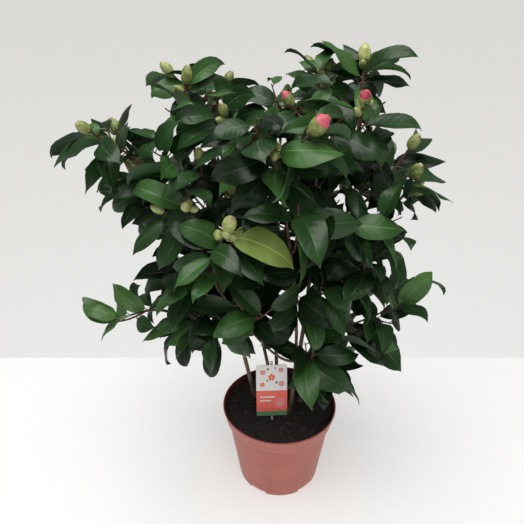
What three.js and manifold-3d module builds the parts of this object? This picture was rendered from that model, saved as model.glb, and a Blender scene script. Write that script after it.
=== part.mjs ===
// A budding camellia shrub in a plastic nursery pot, with its plant label.
// Millimetres, +Z up. The origin is the centre of the pot's flat underside; -Y is the shrub's front.
import * as THREE from "three";
import { mergeVertices } from "three/addons/utils/BufferGeometryUtils.js";
import Module from "manifold-3d";

const wasm = await Module();
wasm.setup();

// ---------------------------------------------------------------------------------------------
// Driving sizes
// ---------------------------------------------------------------------------------------------
const GAP = 0.35; // the running gap between two pieces that touch
const FINEST = 0.2; // detail smaller than this is smoothed away where twigs and leaves fuse
const UP = new THREE.Vector3(0, 0, 1);
const STEEP = 0.97; // beyond this rise a run counts as upright
const LIGHT = new THREE.Vector3(0, -0.6, 0.8); // where the leaves turn their upper sides

const POT = {
  height: 146,
  foot: 68.5, // outer radius at the floor
  shoulder: 86, // outer radius under the collar
  collar: 90, // outer radius at the collar's lower edge
  rim: 95, // outer radius at the lip
  collarHeight: 24,
  step: 2.5, // height of the slope between body and collar
  wall: 2,
  floor: 2.5,
  edge: 2, // the small bevel round the floor
  segments: 24,
  notches: 5,
  notchWidth: 24,
  notchHeight: 5,
  notchDepth: 9,
  notchTurn: 40, // where the first one stands, in degrees
  notchSlope: [2, 1.5], // the slope at each end of its arch, along and up
  notchRound: [6, 0],
  lip: 1, // the small bevel at the rim
};
const SOIL = {
  top: 137,
  dish: 1.5, // how far the surface falls
  bank: 22, // over a bank of this width at the wall
};
const LABEL = {
  width: 50,
  height: 88,
  thick: 1.2,
  corner: 2.5,
  lean: 14, // degrees from upright, away from the front
  turn: 3, // degrees about Z
  foot: [-13, -33],
  clear: 8, // between the soil and the card's lower edge
  pinWidth: 5,
  pinThick: 2.4,
  pinOver: 6, // how far the pin's loop stands above the card
  pinTip: 1.2, // between the soil and the pin's blunt end
  pinSink: 0.4, // how deep the pin is let into the card
  roundSteps: 2,
  view: {
    radius: 48, // of the space before the card that leaves stay out of
    reach: 140,
    way: [0, -0.85, 0.52],
    middle: 0.5, // the share of the card's height at which it starts
    behind: 20,
    sides: 8,
  },
};

const LIMB = {
  sides: 5,
  stemSteps: 9,
  boughSteps: 5,
  stemTip: 0.5, // thickness at the tip over thickness at the foot
  boughTip: 0.62,
  flare: 1.8, // how much the radius grows at the soil
  flareShare: 0.02, // the share of the stem over which that dies away
  guard: 1,
  seat: 0.92, // where a branch meets the flat of a limb, as a share of its radius
  run: 0.4, // how far a shoot at a limb's tip runs on straight, as a share of its length
  bend: 0.17, // and how far one from its side runs out before it bends
};

// The upright stems. foot is where each one leaves the soil, knee pulls its curve, tip is its end.
const STEMS = [
  { name: "west", foot: [-42, 26], knee: [-78, 4, 330], tip: [-122, -8, 602], thick: 7.2 },
  { name: "northwest", foot: [-9, 40], knee: [-50, 78, 330], tip: [-98, 84, 586], thick: 6.4 },
  { name: "centre", foot: [-2, 14], knee: [-14, 8, 380], tip: [-4, 22, 590], thick: 6.6 },
  { name: "front", foot: [16, -10], knee: [36, -46, 330], tip: [-8, -96, 548], thick: 6 },
  { name: "mideast", foot: [20, 6], knee: [44, -52, 380], tip: [44, 8, 632], thick: 6.2 },
  { name: "east", foot: [36, 12], knee: [92, -8, 360], tip: [98, 12, 640], thick: 7 },
  { name: "northeast", foot: [24, 36], knee: [58, 88, 340], tip: [68, 96, 594], thick: 6.4 },
];

// The side boughs: each leaves a stem at a share of its height and runs to its tip.
const BOUGHS = [
  { name: "far_west", on: "west", at: 0.74, tip: [-172, -24, 545], thick: 4.2 },
  { name: "low_west", on: "west", at: 0.34, tip: [-166, -20, 334], thick: 3.8 },
  { name: "front_west", on: "front", at: 0.3, tip: [-84, -84, 405], thick: 4.4 },
  { name: "low_front", on: "front", at: 0.16, tip: [28, -70, 268], thick: 3.4 },
  { name: "low_east", on: "east", at: 0.33, tip: [148, -22, 335], thick: 4 },
  { name: "far_east", on: "east", at: 0.56, tip: [140, -2, 478], thick: 4.4 },
];

// The masses of foliage: each has a leader from its limb to tip, where its buds are, with side
// shoots below. room is the radius of its own space round the tip.
const MASSES = [
  {
    name: "top_east", on: "east", at: 1, tip: [99, 18, 676], shoots: 0, leaves: 7, buds: 3, seed: 67,
    room: 72, droop: -0.2,
  },
  {
    name: "top_mideast", on: "mideast", at: 1, tip: [52, 26, 668], shoots: 0, leaves: 7, buds: 4, seed: 28,
    droop: -0.15, room: 64,
  },
  {
    name: "top_west", on: "west", at: 1, tip: [-124, -2, 652], shoots: 0, leaves: 7, buds: 3, seed: 48,
    room: 60, droop: -0.25,
  },
  {
    name: "top_inner_west", on: "west", at: 0.86, tip: [-86, -8, 648],
    shoots: 0, leaves: 7, buds: 4, seed: 46,
    droop: -0.15, room: 66,
  },
  {
    name: "far_west", on: "far_west", at: 1, tip: [-220, -30, 588], shoots: 2, leaves: 8, buds: 4, seed: 52,
    drop: 62, droop: -0.05,
  },
  {
    name: "outer_east", on: "east", at: 0.72, tip: [162, -6, 574], shoots: 1, leaves: 8, buds: 1, seed: 42,
    droop: -0.1,
  },
  {
    name: "far_east", on: "far_east", at: 1, tip: [176, -4, 520], shoots: 1, leaves: 8, buds: 2, seed: 46,
    drop: 50,
  },
  {
    name: "low_east", on: "low_east", at: 1, tip: [176, -24, 354], shoots: 1, leaves: 7, buds: 0, seed: 104,
    drop: 20, headroom: 54, room: 84,
  },
  {
    name: "low_west", on: "low_west", at: 1, tip: [-230, -24, 330], shoots: 1, leaves: 7, buds: 0, seed: 89,
    drop: 14, headroom: 50,
  },
  {
    name: "upper_east", on: "east", at: 0.84, tip: [87, -62, 636], shoots: 1, leaves: 7, buds: 4, seed: 85,
    room: 80,
  },
  {
    name: "upper_mideast", on: "mideast", at: 0.84, tip: [52, -66, 628],
    shoots: 1, leaves: 6, buds: 3, seed: 103,
  },
  { name: "top_centre", on: "centre", at: 1, tip: [22, -6, 630], shoots: 2, leaves: 6, buds: 2, seed: 113 },
  {
    name: "upper_west", on: "centre", at: 0.8, tip: [-73, -54, 624],
    shoots: 2, leaves: 6, buds: 3, seed: 207,
  },
  {
    name: "shoulder_west", on: "west", at: 0.78, tip: [-158, -46, 604],
    shoots: 1, leaves: 6, buds: 0, seed: 71,
    droop: 0.1,
  },
  {
    name: "inner_west", on: "west", at: 0.68, tip: [-104, -66, 572],
    shoots: 1, leaves: 6, buds: 1, seed: 139,
  },
  {
    name: "front_top", on: "front", at: 1, tip: [-17, -128, 602],
    shoots: 2, leaves: 6, buds: 5, seed: 210,
  },
  {
    name: "front_middle", on: "front_west", at: 1, tip: [-70, -124, 506],
    shoots: 1, leaves: 7, buds: 6, seed: 202,
  },
  {
    name: "front_east", on: "front", at: 0.8, tip: [10, -144, 546],
    shoots: 1, leaves: 6, buds: 1, seed: 222,
  },
  {
    name: "front_west", on: "far_west", at: 0.3, tip: [-117, -96, 524],
    shoots: 2, leaves: 6, buds: 4, seed: 163,
  },
  {
    name: "side_west", on: "far_west", at: 0.66, tip: [-190, -52, 532],
    shoots: 1, leaves: 6, buds: 1, seed: 90,
    drop: 40, room: 80,
  },
  {
    name: "middle_west", on: "west", at: 0.52, tip: [-150, -58, 430],
    shoots: 2, leaves: 7, buds: 0, seed: 181,
  },
  {
    name: "hanging_west", on: "low_west", at: 0.6, tip: [-130, -72, 366],
    shoots: 1, leaves: 6, buds: 0, seed: 193,
    drop: 66,
  },
  {
    name: "low_middle", on: "front_west", at: 0.6, tip: [-62, -122, 414],
    shoots: 2, leaves: 6, buds: 0, seed: 407,
    drop: 62,
  },
  {
    name: "skirt_west", on: "low_west", at: 0.3, tip: [-84, -80, 362],
    shoots: 1, leaves: 6, buds: 0, seed: 203,
    drop: 58,
  },
  {
    name: "low_front", on: "low_front", at: 1, tip: [40, -100, 318],
    shoots: 1, leaves: 6, buds: 0, seed: 303,
    drop: 60, room: 80,
  },
  {
    name: "skirt_east", on: "low_front", at: 0.5, tip: [66, -84, 288],
    shoots: 1, leaves: 6, buds: 0, seed: 127,
    drop: 74, room: 80,
  },
  {
    name: "hanging_east", on: "low_east", at: 0.55, tip: [108, -70, 338],
    shoots: 1, leaves: 6, buds: 0, seed: 102,
    drop: 60, room: 84,
  },
  {
    name: "inner_front", on: "mideast", at: 0.4, tip: [14, -92, 412],
    shoots: 2, leaves: 6, buds: 0, seed: 227,
  },
  {
    name: "inner_east", on: "mideast", at: 0.48, tip: [78, -78, 424],
    shoots: 2, leaves: 6, buds: 0, seed: 233,
  },
  {
    name: "middle_east", on: "far_east", at: 0.5, tip: [98, -62, 458],
    shoots: 1, leaves: 6, buds: 0, seed: 82,
    drop: 70, room: 78,
  },
  {
    name: "front_right", on: "mideast", at: 0.6, tip: [70, -112, 516],
    shoots: 2, leaves: 6, buds: 0, seed: 251,
  },
  {
    name: "back_top_west", on: "northwest", at: 1, tip: [-112, 98, 636],
    shoots: 2, leaves: 6, buds: 3, seed: 266,
  },
  {
    name: "back_top_east", on: "northeast", at: 1, tip: [78, 112, 642],
    shoots: 2, leaves: 6, buds: 3, seed: 271,
  },
  {
    name: "back_centre", on: "centre", at: 0.72, tip: [-16, 136, 592],
    shoots: 2, leaves: 6, buds: 2, seed: 283,
  },
  {
    name: "back_west", on: "northwest", at: 0.66, tip: [-172, 112, 520],
    shoots: 2, leaves: 5, buds: 2, seed: 294,
  },
  {
    name: "back_east", on: "northeast", at: 0.62, tip: [152, 108, 512],
    shoots: 2, leaves: 5, buds: 2, seed: 307,
  },
  {
    name: "back_middle", on: "northwest", at: 0.5, tip: [-48, 150, 474],
    shoots: 2, leaves: 5, buds: 1, seed: 313,
  },
  {
    name: "back_inner_east", on: "northeast", at: 0.48, tip: [56, 158, 456],
    shoots: 2, leaves: 5, buds: 0, seed: 331,
  },
  {
    name: "back_low_west", on: "northwest", at: 0.34, tip: [-132, 92, 384],
    shoots: 2, leaves: 5, buds: 0, seed: 347,
  },
  {
    name: "back_low_east", on: "northeast", at: 0.3, tip: [132, 96, 378],
    shoots: 2, leaves: 5, buds: 0, seed: 359,
  },
  {
    name: "back_low_centre", on: "centre", at: 0.36, tip: [2, 112, 372],
    shoots: 1, leaves: 5, buds: 0, seed: 368,
  },
];

const TWIG = {
  sides: 3,
  leaderSteps: 3,
  shootSteps: 2,
  root: 2.3, // radius where a leader leaves its limb
  tip: 1.4,
  side: 1.7, // radius where a side shoot leaves its leader
  length: [34, 54],
  from: 0.45, // the share of the leader where side shoots start
  to: 0.86,
  lean: [46, 62], // degrees from the leader
  spiral: 137.5, // from one side shoot to the next
  nextTurn: 50, // to the next place where one is tried
  knee: 0.5,
  lift: 0.25,
  bare: 0.25, // the share of a side shoot that bears no leaf
  guard: 1.6,
  tries: 6,
};
const LEAF = {
  length: [60, 80], // the blade alone
  slender: [0.46, 0.57], // width over length
  petiole: 8,
  stalk: 0.55, // half the petiole's width, and its depth
  thick: 1.1,
  fold: 7,
  arch: [20, 64], // how far the blade bends down, in degrees
  stations: [[0.3, 1], [0.7, 0.78]], // share of the blade's length, share of its half width
  lean: [84, 56], // the angle from the shoot, at its foot and at its tip
  stray: 8, // degrees by which one leaf's lean differs
  spiral: 144,
  sway: 14,
  roll: 34,
  sag: [0.05, 0.45],
  climb: [-0.8, 0.75], // the steepest that a leaf sets out, down and up
  outward: 0.3,
  faceOut: 0.2, // how far its upper side turns away from the shrub's middle
  faceTip: 0.25, // and to the shoot's tip
  leafy: 78, // the length of a leader's leafy end
  bare: 0.3, // the least share of a leader that bears no leaf
  first: 0.6, // where the first leaf stands, in steps
  last: 0.97, // the share of a shoot within which the last one stands
  guard: 1.1,
  guardFrom: 0.6, // the share of the petiole that needs no guard
  tries: 16,
  shrink: 0.015, // how much smaller each further try is
  shoot: 4, // leaves on a side shoot
};
const BUD = {
  length: [17, 28],
  slender: 0.58,
  belly: 0.42, // the share of its length where it is widest
  sides: 4,
  stalk: 2.5,
  upright: 12, // the most that the bud at the tip leans, in degrees
  spread: 50, // and how far the others do
  stray: [-10, 14],
  sink: 1.5, // how far below the shoot's end the first one stands
  pitch: 3.5, // and how much lower each next one does
  lesser: 0.62, // their size beside the first one
  onShoot: 2.4, // fewer than this on a side shoot
};

// How far leaves keep to their own mass, where its row says no other.
const CROWN = {
  room: 92, // from the tip of its leader
  headroom: 34, // above that tip
  drop: 90, // and below it
  droop: 0, // how much more its leaves hang
  lowest: 152, // no leaf of the shrub hangs lower
};

// ---------------------------------------------------------------------------------------------
// Shapes: a shape is a list of points and a list of faces that point out
// ---------------------------------------------------------------------------------------------
const radians = THREE.MathUtils.degToRad;
const vector = (p) => new THREE.Vector3(...p);

// A repeatable series of numbers, so that the shrub grows the same way each time.
function series(seed) {
  let state = seed;
  return (low, high) => {
    state = (state * 16807) % 2147483647;
    return low + ((high - low) * state) / 2147483647;
  };
}

// A closed skin over a row of rings. A ring of one point is a tip.
function loft(rings) {
  const points = rings.flat();
  const faces = [];
  let first = 0;
  for (let i = 0; i + 1 < rings.length; i++) {
    const near = rings[i].length;
    const far = rings[i + 1].length;
    const next = first + near;
    const around = Math.max(near, far);
    for (let j = 0; j < around; j++) {
      const k = (j + 1) % around;
      if (near > 1 && far > 1) {
        faces.push([first + j, first + k, next + k]);
        faces.push([first + j, next + k, next + j]);
      } else if (near > 1) faces.push([first + j, first + k, next]);
      else faces.push([first, next + k, next + j]);
    }
    first = next;
  }
  for (let j = 1; j + 1 < rings[0].length; j++) faces.push([0, j + 1, j]);
  for (let j = 1; j + 1 < rings.at(-1).length; j++) faces.push([first, first + j, first + j + 1]);
  return { points, faces };
}

function ringAt(centre, along, side, radius, count) {
  const other = new THREE.Vector3().crossVectors(along, side);
  return Array.from({ length: count }, (_, i) => {
    const angle = (2 * Math.PI * i) / count;
    return centre
      .clone()
      .addScaledVector(side, radius * Math.cos(angle))
      .addScaledVector(other, radius * Math.sin(angle));
  });
}

function anySide(along) {
  const reference = Math.abs(along.z) > STEEP ? new THREE.Vector3(1, 0, 0) : UP;
  return new THREE.Vector3().crossVectors(reference, along).normalize();
}

// A tapering tube along a curve, its rings carried along without twist.
function tube(curve, radiusAt, steps, sides) {
  let side = anySide(curve.getTangent(0));
  const rings = [];
  for (let i = 0; i <= steps; i++) {
    const t = i / steps;
    const along = curve.getTangent(t);
    side = side.clone().addScaledVector(along, -side.dot(along)).normalize();
    rings.push(ringAt(curve.getPoint(t), along, side, radiusAt(t), sides));
  }
  return loft(rings);
}

function geometryOf({ points, faces }) {
  const geometry = new THREE.BufferGeometry().setFromPoints(points);
  return geometry.setIndex(faces.flat());
}

function solidOf(geometry) {
  const bare = new THREE.BufferGeometry().setAttribute("position", geometry.getAttribute("position"));
  const merged = mergeVertices(bare.setIndex(geometry.index), 1e-3);
  return new wasm.Manifold(
    new wasm.Mesh({
      numProp: 3,
      vertProperties: new Float32Array(merged.attributes.position.array),
      triVerts: new Uint32Array(merged.index.array),
    }),
  );
}

function geometryOfSolid(solid) {
  const mesh = solid.getMesh();
  const points = new Float32Array(mesh.numVert * 3);
  for (let i = 0; i < mesh.numVert; i++) {
    points.set(mesh.vertProperties.subarray(i * mesh.numProp, i * mesh.numProp + 3), i * 3);
  }
  const geometry = new THREE.BufferGeometry();
  geometry.setAttribute("position", new THREE.BufferAttribute(points, 3));
  return geometry.setIndex(new THREE.BufferAttribute(new Uint32Array(mesh.triVerts), 1));
}

// Shapes fused to one body. A scrap that touches nothing is dropped.
function fuse(shapes) {
  const solid = wasm.Manifold.union(shapes.map((shape) => solidOf(geometryOf(shape))));
  const bodies = solid.asOriginal().simplify(FINEST).decompose().sort((a, b) => b.volume() - a.volume());
  return geometryOfSolid(bodies[0]);
}

// ---------------------------------------------------------------------------------------------
// Room to grow: each grown shape keeps a guard round it, which later shapes stay out of
// ---------------------------------------------------------------------------------------------
const grown = [];

function guardOf(shape, owner) {
  const edges = new Map();
  for (const face of shape.faces) {
    face.forEach((a, i) => {
      const b = face[(i + 1) % 3];
      edges.set(Math.min(a, b) * 1000 + Math.max(a, b), [a, b]);
    });
  }
  return { ...shape, owner, edges: [...edges.values()], box: new THREE.Box3().setFromPoints(shape.points) };
}

const ray = new THREE.Ray();
const hit = new THREE.Vector3();
function edgesCut(a, b) {
  for (const [i, j] of a.edges) {
    ray.origin.copy(a.points[i]);
    ray.direction.subVectors(a.points[j], a.points[i]);
    const length = ray.direction.length();
    ray.direction.divideScalar(length);
    for (const [p, q, r] of b.faces) {
      const found = ray.intersectTriangle(b.points[p], b.points[q], b.points[r], false, hit);
      if (found && hit.distanceTo(ray.origin) <= length) return true;
    }
  }
  return false;
}

function isFree(guard, besides) {
  return !grown.some(
    (other) =>
      !besides.includes(other.owner) &&
      guard.box.intersectsBox(other.box) &&
      (edgesCut(guard, other) || edgesCut(other, guard)),
  );
}

// ---------------------------------------------------------------------------------------------
// Stems and boughs
// ---------------------------------------------------------------------------------------------
const limbs = new Map();

// Where a branch starts on its limb: in line with the limb's tip, or out of its side.
function branchCurve(limb, at, tip) {
  const centre = limb.curve.getPoint(at);
  const along = limb.curve.getTangent(at);
  const toTip = vector(tip).sub(centre);
  const out = at === 1 ? along : toTip.clone().addScaledVector(along, -toTip.dot(along)).normalize();
  const start = centre.addScaledVector(out, at === 1 ? GAP : limb.radiusAt(at) * LIMB.seat + GAP);
  const knee = start.clone().addScaledVector(out, toTip.length() * (at === 1 ? LIMB.run : LIMB.bend));
  return new THREE.QuadraticBezierCurve3(start, knee, vector(tip));
}

function addLimb(name, curve, radiusAt, steps) {
  const shape = tube(curve, radiusAt, steps, LIMB.sides);
  limbs.set(name, { curve, radiusAt, shape });
  const guardShape = tube(curve, (t) => radiusAt(t) + LIMB.guard, steps, LIMB.sides);
  grown.push(guardOf(guardShape, "limb_" + name));
  return shape;
}

for (const stem of STEMS) {
  const foot = vector([...stem.foot, SOIL.top + GAP]);
  const curve = new THREE.QuadraticBezierCurve3(foot, vector(stem.knee), vector(stem.tip));
  const flare = (t) => LIMB.flare * Math.exp(-t / LIMB.flareShare);
  const radiusAt = (t) => THREE.MathUtils.lerp(stem.thick, stem.thick * LIMB.stemTip, t) / 2 + flare(t);
  const shape = addLimb(stem.name, curve, radiusAt, LIMB.stemSteps);
  for (const point of shape.points.slice(0, LIMB.sides)) point.z = foot.z; // a flat cut at the soil
}
for (const bough of BOUGHS) {
  const curve = branchCurve(limbs.get(bough.on), bough.at, bough.tip);
  const radiusAt = (t) => THREE.MathUtils.lerp(bough.thick, bough.thick * LIMB.boughTip, t) / 2;
  addLimb(bough.name + "_bough", curve, radiusAt, LIMB.boughSteps);
}

// ---------------------------------------------------------------------------------------------
// Leaves, buds and the masses that they make
// ---------------------------------------------------------------------------------------------

// A leaf on its petiole. It starts inside the shoot at base, runs along `along`, bends down from
// its upper side `upper`, and is grown by `extra` all round for its guard.
function leafShape(leaf, extra) {
  const { base, along, upper, length, width, arch } = leaf;
  const across = new THREE.Vector3().crossVectors(upper, along);
  const fold = radians(LEAF.fold);
  const at = (share) => {
    const bend = radians(arch) * share;
    const reach = share < 1e-6 ? 0 : (length * Math.sin(bend)) / radians(arch);
    const drop = share < 1e-6 ? 0 : (length * (1 - Math.cos(bend))) / radians(arch);
    const centre = base
      .clone()
      .addScaledVector(along, LEAF.petiole + reach)
      .addScaledVector(upper, -drop);
    const normal = along.clone().multiplyScalar(Math.sin(bend)).addScaledVector(upper, Math.cos(bend));
    return { centre, normal };
  };
  const section = (centre, normal, half, deep) => [
    centre
      .clone()
      .addScaledVector(across, half * Math.cos(fold))
      .addScaledVector(normal, half * Math.sin(fold) + extra),
    centre
      .clone()
      .addScaledVector(across, -half * Math.cos(fold))
      .addScaledVector(normal, half * Math.sin(fold) + extra),
    centre.clone().addScaledVector(normal, -deep - extra),
  ];
  const start = base.clone().addScaledVector(along, extra > 0 ? LEAF.petiole * LEAF.guardFrom : 0);
  const rings = [section(start, upper, LEAF.stalk, LEAF.stalk)];
  for (const [share, spread] of LEAF.stations) {
    const { centre, normal } = at(share);
    rings.push(section(centre, normal, (spread * width) / 2 + extra, LEAF.thick));
  }
  const end = at(1);
  rings.push([end.centre.addScaledVector(end.normal, -LEAF.thick / 2)]);
  return loft(rings);
}

function budShape(base, along, length) {
  const side = anySide(along);
  const radius = (BUD.slender * length) / 2;
  const at = (share) => base.clone().addScaledVector(along, BUD.stalk + share * length);
  return loft([
    [base],
    ringAt(at(BUD.belly), along, side, radius, BUD.sides),
    [at(1)],
  ]);
}

const outwardOf = (point) => new THREE.Vector3(point.x, point.y, 0).normalize();

// Turns a direction away from an axis: `lean` degrees off it, `turn` degrees round it.
function branchOff(along, turn, lean) {
  const side = anySide(along);
  const other = new THREE.Vector3().crossVectors(along, side);
  return along
    .clone()
    .multiplyScalar(Math.cos(radians(lean)))
    .addScaledVector(side, Math.sin(radians(lean)) * Math.cos(radians(turn)))
    .addScaledVector(other, Math.sin(radians(lean)) * Math.sin(radians(turn)));
}

const keepsToRoom = (shape, mass) =>
  shape.points.every(
    (p) =>
      p.z > Math.max(CROWN.lowest, mass.centre.z - mass.drop) &&
      p.z < mass.centre.z + mass.headroom &&
      p.distanceTo(mass.centre) < mass.room,
  );

// The leaf that first finds room, or null.
function growLeaf(draw, base, axis, turn, share, mass) {
  const fullSize = draw(...LEAF.length);
  const slender = draw(...LEAF.slender);
  for (let attempt = 0; attempt < LEAF.tries; attempt++) {
    const size = fullSize * (1 - LEAF.shrink * attempt);
    const spin = turn + draw(-1, 1) * LEAF.sway * (1 + attempt);
    const lean = THREE.MathUtils.lerp(...LEAF.lean, share) + draw(-LEAF.stray, LEAF.stray);
    const outward = outwardOf(base);
    const along = branchOff(axis, spin, lean)
      .addScaledVector(outward, LEAF.outward)
      .addScaledVector(UP, -(mass.droop + draw(...LEAF.sag)));
    along.setZ(THREE.MathUtils.clamp(along.z, ...LEAF.climb)).normalize();
    const facing = LIGHT.clone()
      .addScaledVector(outward, LEAF.faceOut)
      .addScaledVector(axis, LEAF.faceTip);
    const upper = facing.addScaledVector(along, -facing.dot(along)).normalize();
    upper.applyAxisAngle(along, radians(draw(-LEAF.roll, LEAF.roll)));
    const leaf = { base, along, upper, length: size, width: size * slender, arch: draw(...LEAF.arch) };
    const shape = leafShape(leaf, 0);
    const guard = guardOf(leafShape(leaf, LEAF.guard), mass.owner + "_leaf");
    if (!keepsToRoom(shape, mass) || !isFree(guard, [mass.owner])) continue;
    grown.push(guard);
    return shape;
  }
  return null;
}

// Leaves spiral up a shoot from a share of its length, and its buds crowd at its tip.
function dressShoot(draw, curve, from, leaves, buds, mass) {
  const shapes = [];
  let turn = draw(0, 360);
  for (let i = 0; i < leaves; i++) {
    const share = (i + LEAF.first) / leaves;
    const t = from + (1 - from) * share * LEAF.last;
    const leaf = growLeaf(draw, curve.getPoint(t), curve.getTangent(t), turn, share, mass);
    if (leaf) shapes.push(leaf);
    turn += LEAF.spiral;
  }
  const end = curve.getPoint(1);
  const along = curve.getTangent(1);
  for (let i = 0; i < buds; i++) {
    const lean = i === 0 ? draw(0, BUD.upright) : BUD.spread + draw(...BUD.stray);
    const way = branchOff(along, turn + (360 * i) / buds, lean);
    const base = end.clone().addScaledVector(along, -BUD.sink - BUD.pitch * i);
    const bud = budShape(base, way, draw(...BUD.length) * (i === 0 ? 1 : BUD.lesser));
    const guard = guardOf(bud, mass.owner + "_leaf");
    if (!isFree(guard, [mass.owner, mass.owner + "_leaf"])) continue;
    grown.push(guard);
    shapes.push(bud);
  }
  return shapes;
}

// A side shoot that leaves the leader at t, bending upwards, or null where it finds no room.
function growShoot(draw, leader, t, turn, mass) {
  for (let attempt = 0; attempt < TWIG.tries; attempt++) {
    const base = leader.getPoint(t);
    const length = draw(...TWIG.length);
    const way = branchOff(leader.getTangent(t), turn + attempt * TWIG.nextTurn, draw(...TWIG.lean));
    const knee = base.clone().addScaledVector(way, length * TWIG.knee);
    const tip = base.clone().addScaledVector(way, length).addScaledVector(UP, length * TWIG.lift);
    const curve = new THREE.QuadraticBezierCurve3(base, knee, tip);
    const radiusAt = (s) => THREE.MathUtils.lerp(TWIG.side, TWIG.tip, s);
    const shape = tube(curve, radiusAt, TWIG.shootSteps, TWIG.sides);
    const guardShape = tube(curve, (s) => radiusAt(s) + TWIG.guard, TWIG.shootSteps, TWIG.sides);
    const guard = guardOf(guardShape, mass.owner);
    if (!keepsToRoom(shape, mass) || !isFree(guard, [mass.owner])) continue;
    grown.push(guard);
    return { curve, shape };
  }
  return null;
}

function leaderOf(mass) {
  const limb = limbs.get(mass.on) ?? limbs.get(mass.on + "_bough");
  const curve = branchCurve(limb, mass.at, mass.tip);
  const radiusAt = (t) => THREE.MathUtils.lerp(TWIG.root, TWIG.tip, t);
  const shape = tube(curve, radiusAt, TWIG.leaderSteps, TWIG.sides);
  const owner = "foliage_" + mass.name;
  const guardShape = tube(curve, (t) => radiusAt(t) + TWIG.guard, TWIG.leaderSteps, TWIG.sides);
  grown.push(guardOf(guardShape, owner));
  return { ...CROWN, ...mass, owner, curve, shape, centre: vector(mass.tip) };
}

function growMass(mass) {
  const draw = series(mass.seed);
  const length = mass.curve.getLength();
  const shapes = [mass.shape];
  let turn = draw(0, 360);
  const shoots = [];
  for (let i = 0; i < mass.shoots; i++) {
    const t = THREE.MathUtils.lerp(TWIG.to, TWIG.from, (i + 0.5) / mass.shoots);
    const shoot = growShoot(draw, mass.curve, t, turn, mass);
    if (shoot) shoots.push(shoot);
    turn += TWIG.spiral;
  }
  const from = Math.max(LEAF.bare, 1 - LEAF.leafy / length);
  shapes.push(...dressShoot(draw, mass.curve, from, mass.leaves, mass.buds, mass));
  for (const shoot of shoots) {
    const buds = mass.buds > 0 ? Math.round(draw(0, BUD.onShoot)) : 0;
    shapes.push(shoot.shape, ...dressShoot(draw, shoot.curve, TWIG.bare, LEAF.shoot, buds, mass));
  }
  return fuse(shapes);
}

// ---------------------------------------------------------------------------------------------
// Pot, soil and label
// ---------------------------------------------------------------------------------------------
function lathe(profile) {
  const shape = profile.map(([r, z]) => new THREE.Vector2(r, z));
  const geometry = new THREE.LatheGeometry(shape, POT.segments);
  return geometry.rotateX(Math.PI / 2);
}

function potGeometry() {
  const { height, foot, shoulder, collar, rim, collarHeight, step, wall, floor, edge } = POT;
  const under = height - collarHeight;
  const wallAt = (z) => foot + ((shoulder - foot) * z) / (under - step) - wall;
  const body = solidOf(
    lathe([
      [0, 0],
      [foot - edge, 0],
      [foot, edge],
      [shoulder, under - step],
      [collar, under],
      [rim, height - POT.lip],
      [rim - POT.lip, height],
      [rim - wall, height],
      [collar - wall, under + 1],
      [shoulder - wall, under - step + 1],
      [wallAt(floor), floor],
      [0, floor],
    ]),
  );
  // Arched drain notches through the foot of the wall.
  const half = POT.notchWidth / 2;
  const [slopeIn, slopeDown] = POT.notchSlope;
  const [roundIn, roundDown] = POT.notchRound;
  const arch = new THREE.Shape();
  arch.moveTo(-half, -1);
  arch.lineTo(half, -1);
  arch.lineTo(half - slopeIn, POT.notchHeight - slopeDown);
  arch.lineTo(half - roundIn, POT.notchHeight - roundDown);
  arch.lineTo(roundIn - half, POT.notchHeight - roundDown);
  arch.lineTo(slopeIn - half, POT.notchHeight - slopeDown);
  const cutter = new THREE.ExtrudeGeometry(arch, { depth: 2 * POT.notchDepth, bevelEnabled: false });
  cutter.rotateX(Math.PI / 2).translate(0, -(foot - POT.notchDepth), 0);
  const cuts = Array.from({ length: POT.notches }, (_, i) => {
    const turn = radians(POT.notchTurn + (360 * i) / POT.notches);
    return solidOf(cutter.clone().rotateZ(turn));
  });
  return geometryOfSolid(body.subtract(wasm.Manifold.union(cuts)));
}

function soilGeometry() {
  const { height, foot, shoulder, collar, rim, collarHeight, step, wall, floor } = POT;
  const under = height - collarHeight;
  const slope = (shoulder - foot) / (under - step);
  const flare = (rim - collar) / (collarHeight - 1);
  const low = floor + GAP;
  const edge = SOIL.top - SOIL.dish;
  return lathe([
    [0, low],
    [foot + slope * low - wall - GAP, low],
    [shoulder - wall - GAP, under - step + 1],
    [collar - wall - GAP, under + 3],
    [collar + flare * (edge - under - 1) - wall - GAP, edge],
    [collar - SOIL.bank, SOIL.top],
    [0, SOIL.top],
  ]);
}

function labelGeometry() {
  const { width, height, thick, corner, clear, pinWidth, pinThick, pinOver, pinTip, roundSteps } = LABEL;
  const half = width / 2 - corner;
  const card = new THREE.Shape();
  card.absarc(half, clear + corner, corner, -Math.PI / 2, 0);
  card.absarc(half, clear + height - corner, corner, 0, Math.PI / 2);
  card.absarc(-half, clear + height - corner, corner, Math.PI / 2, Math.PI);
  card.absarc(-half, clear + corner, corner, Math.PI, 1.5 * Math.PI);
  const flat = { depth: thick, bevelEnabled: false, curveSegments: roundSteps };
  const plate = new THREE.ExtrudeGeometry(card, flat);
  const pin = new THREE.Shape();
  pin.moveTo(-pinWidth / 4, pinTip);
  pin.lineTo(pinWidth / 4, pinTip);
  pin.lineTo(pinWidth / 2, clear);
  pin.lineTo(pinWidth / 2, clear + height + pinOver - pinWidth / 2);
  pin.absarc(0, clear + height + pinOver - pinWidth / 2, pinWidth / 2, 0, Math.PI);
  pin.lineTo(-pinWidth / 2, clear);
  const deep = { depth: pinThick, bevelEnabled: false, curveSegments: roundSteps + 1 };
  const rod = new THREE.ExtrudeGeometry(pin, deep);
  rod.translate(0, 0, LABEL.pinSink - pinThick);
  const label = geometryOfSolid(solidOf(plate).add(solidOf(rod)));
  label.rotateX(Math.PI / 2 - radians(LABEL.lean)).rotateZ(radians(LABEL.turn));
  return label.translate(...LABEL.foot, SOIL.top);
}

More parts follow.
